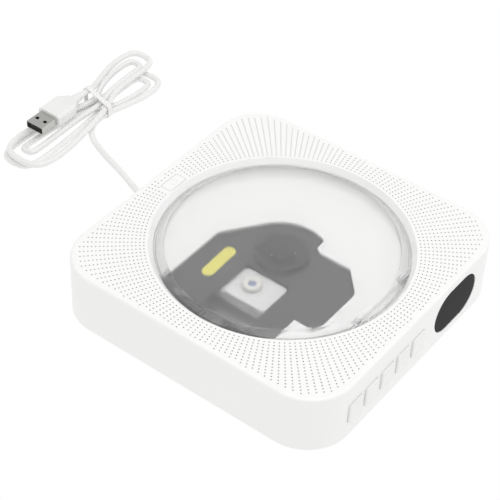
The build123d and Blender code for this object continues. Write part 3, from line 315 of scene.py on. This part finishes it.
# Moulded epoxy of chips: a dry black
EPOXY = Finish("black_moulded_epoxy", "242427", 0.5)
# Moulded acetal in its natural colour, on gears and the latch: creamy and a little translucent
ACETAL = Finish("natural_acetal", "ecebe4", 0.34, ior=1.48, subsurface=0.05)
# Pressed paper of the speaker cones: dull and fibrous, almost black
PAPER_CONE = Finish("pressed_paper_cone", "262524", 0.85, grain_mm=0.9, grain_height_mm=0.04, sheen=0.2)
# Float glass over the display: black with a clear reflection
DISPLAY_GLASS = Finish("display_glass", "10161a", 0.08, ior=1.52, coat=0.6)
# Coated glass of the pickup's lens: a bluish shine
LENS_GLASS = Finish("coated_lens_glass", "7f8fb8", 0.03, ior=1.52, coat=1.0, shade=0.0)


class Edge(Enum):
    """How a new mesh is shaded: all flat, or smooth up to an angle in degrees between its faces."""

    FLAT = 0.0
    CRISP = 30.0


def shade(mesh: bpy.types.Mesh, edge: Edge) -> None:
    """Shades a mesh flat or smooth, with sharp edges where faces meet at more than the edge's angle.

    Args:
        mesh: The mesh.
        edge: How it is shaded.
    """
    mesh.polygons.foreach_set("use_smooth", np.full(len(mesh.polygons), edge is not Edge.FLAT))
    if edge is not Edge.FLAT:
        mesh.set_sharp_from_angle(angle=math.radians(edge.value))
    mesh.update()


def new_mesh(name: str, points: np.ndarray, faces: list[list[int]]) -> bpy.types.Mesh:
    """Makes a mesh from points in metres.

    Args:
        name: The mesh's name.
        points: One row of three numbers for each vertex.
        faces: Vertex numbers of each face.

    Returns:
        The mesh.
    """
    mesh = bpy.data.meshes.new(name)
    mesh.from_pydata(points.tolist(), [], faces)
    return mesh


def add_piece(mesh: bpy.types.Mesh, finishes: list[Finish], edge: Edge = Edge.CRISP) -> bpy.types.Object:
    """Gives a mesh its materials and shading, and puts it into the scene at the origin.

    Args:
        mesh: The mesh, whose name the object gets.
        finishes: Its materials, in slot order.
        edge: How it is shaded.

    Returns:
        The object.
    """
    for finish in finishes:
        mesh.materials.append(finish.build())
    shade(mesh, edge)
    piece = bpy.data.objects.new(mesh.name, mesh)
    bpy.context.scene.collection.objects.link(piece)
    return piece


def merged(mesh: bpy.types.Mesh) -> bmesh.types.BMesh:
    """Copies loose triangles into a bmesh in which corners at one place are joined.

    Args:
        mesh: The mesh, which stays as it is.

    Returns:
        The joined copy.
    """
    copy = bmesh.new()
    copy.from_mesh(mesh)
    bmesh.ops.remove_doubles(copy, verts=copy.verts, dist=SAME_CORNER)
    return copy


def write_out(copy: bmesh.types.BMesh, mesh: bpy.types.Mesh) -> bpy.types.Mesh:
    """Writes a bmesh into a mesh and frees the bmesh.

    Args:
        copy: The bmesh.
        mesh: The mesh to fill.

    Returns:
        The filled mesh.
    """
    copy.to_mesh(mesh)
    copy.free()
    return mesh


def dress(names: str | list[str], finish: Finish) -> None:
    """Gives nodes of the frame a finish, and leaves their meshes and shading as packed.

    Args:
        names: Node names, or one name.
        finish: The finish.
    """
    for name in [names] if isinstance(names, str) else names:
        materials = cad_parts[name].data.materials
        materials.clear()
        materials.append(finish.build())


def rounded_distance(points: np.ndarray, half: tuple[float, float], corner: float) -> np.ndarray:
    """Signed distance to a rounded rectangle about the origin, less than zero inside.

    It is the distance to the rectangle drawn in by the corner radius, less that radius.

    Args:
        points: Rows of X and Y.
        half: Half of its width and half of its depth.
        corner: Corner radius.

    Returns:
        One distance for each point.
    """
    reach = np.abs(points) - (np.array(half) - corner)
    outside = np.linalg.norm(np.maximum(reach, 0), axis=1)
    return outside + np.minimum(reach.max(axis=1), 0) - corner


@dataclass
class Shell:
    """The white top shell with its full round grille.

    Attributes:
        top: Height of the top face.
        half: Half of the housing's width.
        corner: Corner radius of the housing.
        side_inset: How far inside the housing's side the flat top ends.
        rim: Radius of the rim, where the flat top ends inwards.
        spokes: Number of spokes of holes in a full turn.
        first_spoke: Angle of the first spoke, in steps between spokes.
        pitch: Distance between rings of holes.
        first_ring: Radius of the first ring.
        rings: Number of rings.
        hole_radius: Radius of a hole.
        sides: Corners of a hole's outline.
        depth: Depth of a hole, down to the cloth.
        margin: Least distance from a hole's centre to the housing's side.
        tab_centre: Middle of the release tab.
        tab_half: Half of the width and depth of its opening.
        tab_corner: Corner radius of its opening.
        tab_clear: Half of the width and depth of the field round the tab that has no holes.
        tab_walls: The same of the field whose walls are the opening's own.
        frame_step: Whole steps of angle on which the frame's few holes stand, in degrees.
        frame_reach: Reach of such a hole from its middle.
        frame_front: Least Y of such a hole.
        frame_depth: Depth of such a hole, and a little more.
        frame_sides: Most corners of such a hole's lower mouth.
        steep: Most that the normal of an upright wall points up or down.
        same_spot: Distance under which two spots of the flat top are one.
    """

    top: float = 35.5
    half: float = 83.0
    corner: float = 25.0
    side_inset: float = 1.5
    rim: float = 68.0
    spokes: int = 180
    first_spoke: float = 0.5
    pitch: float = 2.0
    first_ring: float = 70.0
    rings: int = 17
    hole_radius: float = 0.46
    sides: int = 8
    depth: float = 1.6
    margin: float = 3.1
    tab_centre: tuple[float, float] = (1.5, 72.15)
    tab_half: tuple[float, float] = (6.7, 3.5)
    tab_corner: float = 1.2
    tab_clear: tuple[float, float] = (8.1, 5.0)
    tab_walls: tuple[float, float] = (8.1, 4.0)
    frame_step: float = 1.0
    frame_reach: float = 0.6
    frame_front: float = 20.0
    frame_depth: float = 2.3
    frame_sides: int = 12
    steep: float = 0.1
    same_spot: float = 1e-5

    def side_distance(self, points: np.ndarray, inset: float = 0.0) -> np.ndarray:
        """Signed distance from points to the housing's side.

        Args:
            points: Rows of X and Y.
            inset: How far inside the housing's side the line lies that is measured to.

        Returns:
            The distances, less than zero inside.
        """
        half = self.half - inset
        return rounded_distance(points, (half, half), self.corner - inset)

    def by_tab(self, points: np.ndarray, field: tuple[float, float]) -> np.ndarray:
        """Whether each point lies in a rectangle about the middle of the tab.

        Args:
            points: Rows of X and Y.
            field: Half of the rectangle's width and depth.

        Returns:
            One answer for each point.
        """
        return (np.abs(points - np.array(self.tab_centre)) < np.array(field)).all(axis=1)

    def nearest_crossing(self, points: np.ndarray, step: float, first: float) -> np.ndarray:
        """The crossing of a ring and a spoke that lies nearest to each point.

        The point's radius is rounded to a ring, and its angle to a spoke.

        Args:
            points: Rows of X and Y.
            step: Angle between spokes in radians.
            first: Angle of the first spoke, in steps.

        Returns:
            One row of X and Y for each point.
        """
        ring = np.round((np.hypot(points[:, 0], points[:, 1]) - self.first_ring) / self.pitch)
        spoke = np.round(np.arctan2(points[:, 1], points[:, 0]) / step - first) + first
        radius = self.first_ring + self.pitch * ring
        return np.stack([radius * np.cos(spoke * step), radius * np.sin(spoke * step)], axis=1)

    def has_hole(self, crossings: np.ndarray) -> np.ndarray:
        """Whether each crossing has a hole: it is on a ring, and clear of the side and the tab.

        Args:
            crossings: Rows of X and Y.

        Returns:
            One answer for each crossing.
        """
        on_ring = np.hypot(crossings[:, 0], crossings[:, 1]) > self.first_ring - self.pitch / 2
        inside = self.side_distance(crossings) < -self.margin
        return on_ring & inside & ~self.by_tab(crossings, self.tab_clear)

    def hole_centres(self) -> np.ndarray:
        """Centres of all holes, from the first ring outwards.

        Returns:
            One row of X and Y for each hole.
        """
        radius = self.first_ring + self.pitch * np.arange(self.rings)
        angle = TAU * (np.arange(self.spokes) + self.first_spoke) / self.spokes
        ring, turn = np.meshgrid(radius, angle, indexing="ij")
        crossings = np.stack([ring * np.cos(turn), ring * np.sin(turn)], axis=-1).reshape(-1, 2)
        return crossings[self.has_hole(crossings)]

    def hole_corners(self) -> tuple[np.ndarray, np.ndarray, np.ndarray]:
        """Corners of all holes' outlines: each centre, plus the hole's radius at equal turns.

        Returns:
            One row of X and Y for each corner, and for each hole the numbers of its corners and of the
            corners that follow them.
        """
        turn = TAU * np.arange(self.sides) / self.sides
        ring = self.hole_radius * np.stack([np.cos(turn), np.sin(turn)], axis=1)
        corners = (self.hole_centres()[:, None] + ring[None]).reshape(-1, 2)
        starts = np.arange(len(corners)).reshape(-1, self.sides)
        return corners, starts, np.roll(starts, -1, axis=1)

    def is_frame_hole(self, corners: np.ndarray) -> bool:
        """Whether all corners of a wall's face lie by the crossings on which the frame's holes stand.

        Args:
            corners: Rows of X and Y.

        Returns:
            Whether the face is part of a hole's wall.
        """
        crossings = self.nearest_crossing(corners, math.radians(self.frame_step), 0.0)
        near = np.linalg.norm(corners - crossings, axis=1) < self.frame_reach
        behind = corners[:, 1] > self.frame_front
        return bool((near & behind).all() and not self.by_tab(corners, self.tab_walls).any())

    def open_copy(self) -> tuple[bmesh.types.BMesh, list[bmesh.types.BMEdge]]:
        """Copies the frame's shell without its flat top and its few holes.

        Returns:
            The copy, and the edges round its open top.
        """
        shell = merged(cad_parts["top_shell"].data)
        top = self.top * MM
        away = []
        for face in shell.faces:
            heights = [v.co.z for v in face.verts]
            if all(abs(height - top) < ON_LEVEL for height in heights):
                away.append(face)
            elif min(heights) > top - self.frame_depth * MM and abs(face.normal.z) < self.steep:
                if self.is_frame_hole(np.array([v.co[:2] for v in face.verts]) / MM):
                    away.append(face)
        bmesh.ops.delete(shell, geom=away, context="FACES")
        open_edges = [e for e in shell.edges if e.is_boundary]
        round_top = [e for e in open_edges if all(abs(v.co.z - top) < ON_LEVEL for v in e.verts)]
        below = [e for e in open_edges if all(v.co.z < top - ON_LEVEL for v in e.verts)]
        bmesh.ops.holes_fill(shell, edges=below, sides=self.frame_sides)
        shell.verts.index_update()
        return shell, round_top

    def flat_top(self, round_top: list[bmesh.types.BMEdge]) -> tuple[np.ndarray, np.ndarray]:
        """Fills the open top between the edges round it and the outlines of the holes.

        It is a constrained triangulation. Triangles in a hole, in the tab's opening, inside the rim or
        past the side are dropped, and those whose signed area is less than zero are turned over.

        Args:
            round_top: The edges round the open top.

        Returns:
            Rows of X and Y, and the triangles between them.
        """
        ends = sorted({v for e in round_top for v in e.verts}, key=lambda v: v.index)
        number = {vertex: index for index, vertex in enumerate(ends)}
        outline = np.array([v.co[:2] for v in ends]) / MM
        corners, starts, follows = self.hole_corners()
        sides = np.stack([starts.ravel(), follows.ravel()], axis=1) + len(outline)
        edges = [(number[e.verts[0]], number[e.verts[1]]) for e in round_top]
        edges += [(first, last) for first, last in sides.tolist()]
        given = [Vector(spot) for spot in np.vstack([outline, corners])]
        found = delaunay_2d_cdt(given, edges, [], 0, self.same_spot)
        spots = np.array([v[:] for v in found[0]])
        triangles = np.array([list(f) for f in found[2]])

        middles = spots[triangles].mean(axis=1)
        crossings = self.nearest_crossing(middles, TAU / self.spokes, self.first_spoke)
        near = np.linalg.norm(middles - crossings, axis=1) < self.hole_radius
        in_tab = rounded_distance(middles - np.array(self.tab_centre), self.tab_half, self.tab_corner) < 0
        in_rim = np.hypot(middles[:, 0], middles[:, 1]) < self.rim
        inside = self.side_distance(middles, self.side_inset) < 0
        triangles = triangles[inside & ~in_tab & ~in_rim & ~(near & self.has_hole(crossings))]

        first, second, third = (spots[triangles[:, i]] for i in range(3))
        one, other = second - first, third - first
        area = one[:, 0] * other[:, 1] - one[:, 1] * other[:, 0]
        return spots, np.where(area[:, None] < 0, triangles[:, ::-1], triangles)

    def build(self) -> bpy.types.Object:
        """Joins the open copy, the new flat top, the holes' walls and the cloth at their foot.

        Returns:
            The shell.
        """
        shell, round_top = self.open_copy()
        spots, triangles = self.flat_top(round_top)
        corners, starts, follows = self.hole_corners()
        old_points = np.array([v.co[:] for v in shell.verts])
        old_faces = [[v.index for v in f.verts] for f in shell.faces]
        shell.free()

        levels = ((spots, self.top), (corners, self.top), (corners, self.top - self.depth))
        layers = [np.column_stack([flat, np.full(len(flat), height)]) * MM for flat, height in levels]
        upper, mouth, foot = np.cumsum([len(old_points), len(spots), len(corners)])
        a, b = starts.ravel(), follows.ravel()
        walls = np.stack([mouth + a, foot + a, foot + b, mouth + b], axis=1)
        plastic = old_faces + (triangles + upper).tolist() + walls.tolist()
        cloth = (starts + foot).tolist()
        mesh = new_mesh("shell", np.vstack([old_points, *layers]), plastic + cloth)
        slots = np.repeat(np.array([0, 1], np.int32), [len(plastic), len(cloth)])
        mesh.polygons.foreach_set("material_index", slots)
        # The cloth at the holes' foot carries the painted light grey
        return add_piece(write_out(merged(mesh), mesh), [WHITE_ABS, GRILLE_CLOTH_PAINTED_LIGHT])

    def place(self) -> None:
        """Builds the shell and puts it in the place of its node."""
        shell = self.build()
        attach(shell, HOUSING)
        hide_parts("top_shell")
        log.info("shell: %d faces, %d holes", len(shell.data.polygons), len(self.hole_centres()))


@dataclass
class Lid:
    """The clear lid: the frame's own lid with its outer edges rounded and its flat pane etched.

    Attributes:
        top: Height of the top face.
        pane: Thickness of the flat pane, and a little more.
        round_width: Width of the rounding of the edges.
        round_steps: Segments in the rounding.
        sharp_turn: Least angle between faces that counts as an edge, in degrees.
        ring_reach: Least and greatest radius of the edges that are rounded.
        ring_depth: Greatest depth of such an edge below the top.
        same_height: Most by which the ends of such an edge differ in height.
        same_radius: Most by which they differ in radius.
        level: Least upright part of a level face's normal.
    """

    top: float = 35.5
    pane: float = 1.9
    round_width: float = 0.45
    round_steps: int = 3
    sharp_turn: float = 25.0
    ring_reach: tuple[float, float] = (60.0, 65.2)
    ring_depth: float = 4.5
    same_height: float = 0.01
    same_radius: float = 0.05
    level: float = 0.999

    def ring_edges(self, lid: bmesh.types.BMesh) -> list[bmesh.types.BMEdge]:
        """The sharp edges that run round the lid: both ends lie at one radius and one height.

        Args:
            lid: The joined copy of the lid.

        Returns:
            The edges.
        """
        found = []
        least, most = self.ring_reach
        for edge in lid.edges:
            if len(edge.link_faces) != 2 or edge.calc_face_angle(0) < math.radians(self.sharp_turn):
                continue
            one, other = (vertex.co / MM for vertex in edge.verts)
            radius = math.hypot(one.x, one.y)
            same = abs(one.z - other.z) < self.same_height
            same = same and abs(radius - math.hypot(other.x, other.y)) < self.same_radius
            if same and least < radius < most and one.z > self.top - self.ring_depth:
                found.append(edge)
        return found

    def pane_faces(self, mesh: bpy.types.Mesh) -> np.ndarray:
        """Finds the level faces of the flat pane.

        Args:
            mesh: The lid's mesh.

        Returns:
            For each face 1 if it belongs to the pane, and otherwise 0.
        """
        normals, middles = np.zeros((2, 3 * len(mesh.polygons)))
        mesh.polygons.foreach_get("normal", normals)
        mesh.polygons.foreach_get("center", middles)
        high = middles[2::3] > (self.top - self.pane) * MM
        return (high & (np.abs(normals[2::3]) > self.level)).astype(np.int32)

    def build(self) -> bpy.types.Object:
        """Rounds a copy of the lid and frosts its pane.

        Returns:
            The lid.
        """
        lid = merged(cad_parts["lid"].data)
        bmesh.ops.bevel(
            lid,
            geom=self.ring_edges(lid),
            offset=self.round_width * MM,
            segments=self.round_steps,
            profile=0.5,
            affect="EDGES",
            clamp_overlap=True,
        )
        mesh = write_out(lid, bpy.data.meshes.new("clear_lid"))
        mesh.polygons.foreach_set("material_index", self.pane_faces(mesh))
        return add_piece(mesh, [CLEAR_STYRENE, FROSTED_STYRENE])

    def place(self) -> None:
        """Builds the lid and puts it in the place of its node."""
        lid = self.build()
        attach(lid, "lid")
        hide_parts("lid")
        log.info("lid: %d faces", len(lid.data.polygons))


@dataclass
class Lead:
    """The USB lead: one smooth line from the strain relief, through the tied hank, to the plug.

    The hank's lobes lie to the right and the left of its waist in turn, and cross the waist on tracks
    side by side.

    Attributes:
        diameter: The lead's diameter in metres.
        length: Its length in metres; not used.
        free_route: Points of the free stretch, in metres.
        waist: X and Y of the place where the tie holds the hank.
        step: Distance between tracks at the waist.
        rest: Height of the lowest strands' centre line.
        rise: Height of one layer.
        lift: How far strands lie higher at the waist than beside it.
        first_track: Track on which the free stretch comes to the waist, in steps from its middle.
        right_lobes: Reach, outgoing side and returning side of each lobe to the right.
        right_tracks: Track on which each of them but the last comes back.
        left_lobes: As right_lobes, to the left.
        left_tracks: As right_tracks, to the left.
        end_rise: How far the last lobe rises.
        plug_side: Side of the plug's axis from the waist.
        plug_height: Height of the plug's axis.
        plug_line: Distance along the waist, and height over the plug's axis, of each of the last points.
        bends: Shares of a lobe's reach at which its sides have their points.
        corner_share: How far a tip's corner points lie from it, as a share of the lobe's width.
        corner_most: The most that they do.
        squeeze: How far a lobe is drawn in next to the waist, as a share of its side.
        blunt: How far the points at the tip are drawn in, as a share of the lobe's width.
        steps: Segments between two points of the line.
        round_steps: Segments in a quarter of the lead's section, less one.
    """

    diameter: float = 0.0035
    length: float = 0.96
    free_route: tuple[Point, ...] = (
        (0.0060, 0.0910, 0.0080),
        (0.0060, 0.0970, 0.0080),
        (0.0115, 0.1050, 0.0036),
        (0.0160, 0.1135, 0.0018),
        (0.0209, 0.1260, 0.00185),
        (0.0249, 0.1386, 0.0018),
        (0.0282, 0.1476, 0.00185),
        (0.0318, 0.1554, 0.0018),
        (0.0374, 0.1626, 0.0020),
        (0.0445, 0.16525, 0.00275),
    )
    waist: tuple[float, float] = (55.0, 172.0)
    step: float = 4.5
    rest: float = 1.8
    rise: float = 4.05
    lift: float = 0.95
    first_track: float = -1.5
    right_lobes: tuple[Lobe, ...] = (
        (45.0, -12.6, 7.0),
        (39.0, -7.6, 3.0),
        (45.0, 4.0, 13.6),
        (53.0, 1.0, 18.4),
    )
    right_tracks: tuple[float, ...] = (1.5, 0.5, 0.5)
    left_lobes: tuple[Lobe, ...] = ((-66.5, 14.9, -5.4), (-56.0, 8.6, -0.2), (-66.0, 14.5, -14.0))
    left_tracks: tuple[float, ...] = (-0.5, -0.5, -1.5)
    end_rise: float = 1.2
    plug_side: float = 7.5
    plug_height: float = 12.4
    plug_line: tuple[tuple[float, float], ...] = ((4.0, -0.6), (-2.0, 0.0), (-5.5, 0.0))
    bends: tuple[float, float] = (0.30, 0.62)
    corner_share: float = 0.32
    corner_most: float = 8.0
    squeeze: float = 0.25
    blunt: float = 0.2
    steps: int = 6
    round_steps: int = 4

    def lobe(self, shape: Lobe, enter: float, leave: float) -> np.ndarray:
        """Control points of one lobe: out along one side, round the tip and back along the other.

        Four points go out and four come back: two at the bends, one short of the tip and one at it. The
        first is drawn in to the middle of the waist, and the one at the tip to the middle of the lobe.
        The heights run evenly from the first point to the last.

        Args:
            shape: Reach, outgoing side and returning side.
            enter: Height where the lobe starts.
            leave: Height where it ends.

        Returns:
            Rows of X, Y and Z from the waist.
        """
        reach, out, back = shape
        tip, width = abs(reach), back - out
        corner = min(self.corner_most, abs(width) * self.corner_share)
        along = np.array([self.bends[0] * tip, self.bends[1] * tip, tip - corner, tip])
        outgoing = [out - self.squeeze * out, out, out, out + self.blunt * width]
        returning = [back - self.blunt * width, back, back, back - self.squeeze * back]
        x = math.copysign(1, reach) * np.concatenate([along, along[::-1]])
        return np.column_stack([x, outgoing + returning, np.linspace(enter, leave, len(x))])

    def crossing(self, track: float, height: float) -> np.ndarray:
        """The point where a strand crosses the waist.

        Args:
            track: The strand's track, in steps from the middle of the waist.
            height: Height of its layer.

        Returns:
            X, Y and Z from the waist.
        """
        return np.array([0.0, track * self.step, height + self.lift])

    def route(self) -> np.ndarray:
        """All control points of the lead.

        Every second turn of the hank lies one layer higher.

        Returns:
            Rows of X, Y and Z in metres.
        """
        layers = [self.rest + (turn // 2) * self.rise for turn in range(len(self.right_lobes) + 1)]
        turns = [self.crossing(self.first_track, self.rest)]
        for turn, left in enumerate(self.left_lobes):
            low, high = layers[turn], layers[turn + 1]
            turns += [
                self.lobe(self.right_lobes[turn], low, low),
                self.crossing(self.right_tracks[turn], low),
                self.lobe(left, low, high),
                self.crossing(self.left_tracks[turn], high),
            ]
        last = layers[len(self.left_lobes)]
        turns.append(self.lobe(self.right_lobes[-1], last, last + self.end_rise))
        for along, above in self.plug_line:
            turns.append(np.array([along, self.plug_side, self.plug_height + above]))
        hank = (np.vstack(turns) + (*self.waist, 0.0)) * MM
        return np.vstack([self.free_route, hank])

    def place(self) -> None:
        points = self.route()
        curve = bpy.data.curves.new("usb_lead", "CURVE")
        curve.dimensions = "3D"
        curve.resolution_u = self.steps
        curve.bevel_depth = self.diameter / 2
        curve.bevel_resolution = self.round_steps
        curve.use_fill_caps = True
        spline = curve.splines.new("NURBS")
        spline.points.add(len(points) - 1)
        spline.points.foreach_set("co", np.column_stack([points, np.ones(len(points))]).ravel())
        spline.order_u = 3
        spline.use_endpoint_u = True
        curve.materials.append(SOFT_PVC.build())
        lead = bpy.data.objects.new("usb_lead", curve)
        bpy.context.scene.collection.objects.link(lead)
        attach(lead, HOUSING)
        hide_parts("cord_lead", "cord_hank")
        dress(["cord_grommet", "usb_overmould"], SOFT_PVC)
        dress("cord_tie", TIE_NYLON)
        dress("usb_shell", NICKEL)
        dress("usb_tongue", BLACK_ABS)
        log.info("lead: %d control points", len(points))


@dataclass
class Case:
    """The rest of the case: base, feet, screws, window, keys, and the tab with its latch and springs.

    Attributes:
        keys: Number of keys on the front.
    """

    keys: int = 5

    def place(self) -> None:
        """Gives the case's nodes their finishes."""
        dress(["base_plate", "release_tab"], WHITE_ABS)
        dress([f"key_{i + 1}" for i in range(self.keys)], KEY_ABS)
        dress("window", BLACK_ACRYLIC)
        dress("feet", RUBBER)
        dress("case_screws", ZINC_PLATE)
        dress("latch", ACETAL)
        dress(["hinge_pins", "release_springs"], POLISHED_STEEL)
        log.info("case: dressed, with %d keys", self.keys)


@dataclass
class Drive:
    """The disc drive: deck, bare label, turntable, chuck balls, pickup and gears.

    Attributes:
        balls: Number of chuck balls in the hub.
        label_turn: Turn of the bare label about its middle, in degrees.
    """

    balls: int = 3
    label_turn: float = 10.0

    def place_label(self) -> None:
        """Turns a copy of the bare label about its own middle, so that it lies along the deck's slot."""
        label = merged(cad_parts["deck_label"].data)
        middle = sum((v.co for v in label.verts), Vector()) / len(label.verts)
        turn = Matrix.Rotation(math.radians(self.label_turn), 3, "Z")
        bmesh.ops.rotate(label, cent=middle, matrix=turn, verts=label.verts)
        piece = add_piece(write_out(label, bpy.data.meshes.new("bare_label")), [YELLOW_FILM])
        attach(piece, HOUSING)
        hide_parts("deck_label")
        log.info("label: turned by %.0f degrees", self.label_turn)

    def place(self) -> None:
        """Gives the drive's nodes their finishes and turns the label."""
        dress("deck_chassis", DECK_ABS)
        dress("turntable", HUB_ACETAL)
        dress("lens", LENS_GLASS)
        dress("pickup_sled", CAST_ZINC)
        dress(["lens_holder", "double_gear", "motor_pinion"], ACETAL)
        dress(["deck_dampers", "turntable_pad"], RUBBER)
        dress(["deck_screws", "sled_motor", "spindle_motor"], ZINC_PLATE)
        dress(["guide_rods", "gear_pin"], POLISHED_STEEL)
        dress([f"chuck_ball_{i + 1}" for i in range(self.balls)], POLISHED_STEEL)
        self.place_label()
        log.info("drive: dressed, with %d balls", self.balls)


@dataclass
class Electronics:
    """Boards, key switches, display, sockets and the power switch.

    Attributes:
        boards: The boards' nodes.
    """

    boards: tuple[str, ...] = ("key_board", "main_board")

    def place(self) -> None:
        """Gives the nodes of the electronics their finishes."""
        dress(list(self.boards), BOARD_LACQUER)
        dress("board_parts", EPOXY)
        dress("key_switches", ACETAL)
        dress("display_module", DISPLAY_GLASS)
        dress("ir_receiver", BLACK_ACRYLIC)
        dress(["hdmi_socket", "power_switch"], NICKEL)
        dress(["av_jack", "switch_knob"], BLACK_ABS)
        log.info("electronics: dressed, with %d boards", len(self.boards))


@dataclass
class Speakers:
    """The two speakers under the rear corners of the grille.

    Attributes:
        sides: Names of their sides.
    """

    sides: tuple[str, ...] = ("left", "right")

    def place(self) -> None:
        """Gives each speaker's frame, cone and magnet their finishes."""
        for side in self.sides:
            dress(f"speaker_{side}_frame", BLACK_ABS)
            dress(f"speaker_{side}_cone", PAPER_CONE)
            dress(f"speaker_{side}_magnet", ZINC_PLATE)
        log.info("speakers: %d dressed", len(self.sides))


@dataclass(frozen=True)
class Lamp:
    """A soft square lamp that shines at the origin.

    Attributes:
        name: Its name.
        place: Its place in metres.
        size: Length of its side in metres.
        power: Its power in watts.
    """

    name: str
    place: Point
    size: float
    power: float

    def build(self) -> None:
        """Puts the lamp into the scene, turned to the origin."""
        data = bpy.data.lights.new(self.name, "AREA")
        data.size = self.size
        data.energy = self.power
        lamp = bpy.data.objects.new(self.name, data)
        lamp.location = self.place
        lamp.rotation_euler = (-Vector(self.place)).to_track_quat("-Z", "Y").to_euler()
        bpy.context.scene.collection.objects.link(lamp)


@dataclass
class Studio:
    """A glowing white table, soft light from all round and above, and the camera.

    Attributes:
        eye: Camera place.
        right: The picture's direction to the right.
        down: The picture's direction down.
        ahead: The viewing direction.
        lens: Focal length on a sensor of the width below.
        sensor: Width of the sensor.
        clip: Least and greatest distance that the camera sees, in metres.
        table_half: Half of the table's width in metres.
        table_glow: Brightness of the table.
        sky: Brightness of the white surrounding.
        lamps: The lamps.
    """

    eye: Point = (-503.3, -333.9, 586.4)
    right: Point = (0.60328, -0.79661, 0.03832)
    down: Point = (-0.52383, -0.43202, -0.73413)
    ahead: Point = (0.60137, 0.42282, -0.67792)
    lens: float = 116.6
    sensor: float = 36.0
    clip: tuple[float, float] = (0.01, 50.0)
    table_half: float = 4.0
    table_glow: float = 1.0
    sky: float = 0.68
    lamps: tuple[Lamp, ...] = (
        Lamp("overhead", (-0.1, -0.15, 1.5), 1.4, 8.5),
        Lamp("right_fill", (1.0, -0.7, 1.2), 0.9, 2.0),
    )

    def camera(self) -> None:
        """Sets the camera at its place, turned by its three directions."""
        data = bpy.data.cameras.new("camera")
        data.lens = self.lens
        data.sensor_width = self.sensor
        data.clip_start, data.clip_end = self.clip
        camera = bpy.data.objects.new("camera", data)
        bpy.context.scene.collection.objects.link(camera)
        columns = [Vector(self.right), -Vector(self.down), -Vector(self.ahead)]
        turn = Matrix(columns).transposed().to_4x4()
        camera.matrix_world = Matrix.Translation(Vector(self.eye) * MM) @ turn
        bpy.context.scene.camera = camera

    def table(self) -> None:
        """Lays the table under the object: black opal glass that glows evenly white."""
        half = self.table_half
        corners = np.array([(-half, -half, 0), (half, -half, 0), (half, half, 0), (-half, half, 0)])
        opal = Finish("opal_light_table", "000000", 0.9, shade=0.0, specular=0.0)
        table = add_piece(new_mesh("floor", corners, [[0, 1, 2, 3]]), [opal], Edge.FLAT)
        shader = opal.build().node_tree.nodes["Principled BSDF"]
        shader.inputs["Emission Color"].default_value = (1, 1, 1, 1)
        shader.inputs["Emission Strength"].default_value = self.table_glow

    def light(self) -> None:
        """Sets the plain colour view, the white surrounding and the lamps."""
        scene = bpy.context.scene
        scene.view_settings.view_transform = "Standard"
        scene.view_settings.look = "None"
        world = bpy.data.worlds.new("white_surrounding")
        world.use_nodes = True
        background = world.node_tree.nodes["Background"]
        background.inputs["Color"].default_value = (1, 1, 1, 1)
        background.inputs["Strength"].default_value = self.sky
        scene.world = world
        for lamp in self.lamps:
            lamp.build()

    def place(self) -> None:
        """Sets the whole studio."""
        self.camera()
        self.table()
        self.light()
        log.info("studio: %d lamps", len(self.lamps))


def main() -> None:
    """Builds the studio, the lead and every other sub-assembly, in order."""
    logging.basicConfig(level=logging.INFO, format="%(name)s %(message)s")
    for part in (Studio(), Lead(), Case(), Drive(), Electronics(), Speakers(), Shell(), Lid()):
        part.place()


if __name__ == "__main__":
    main()
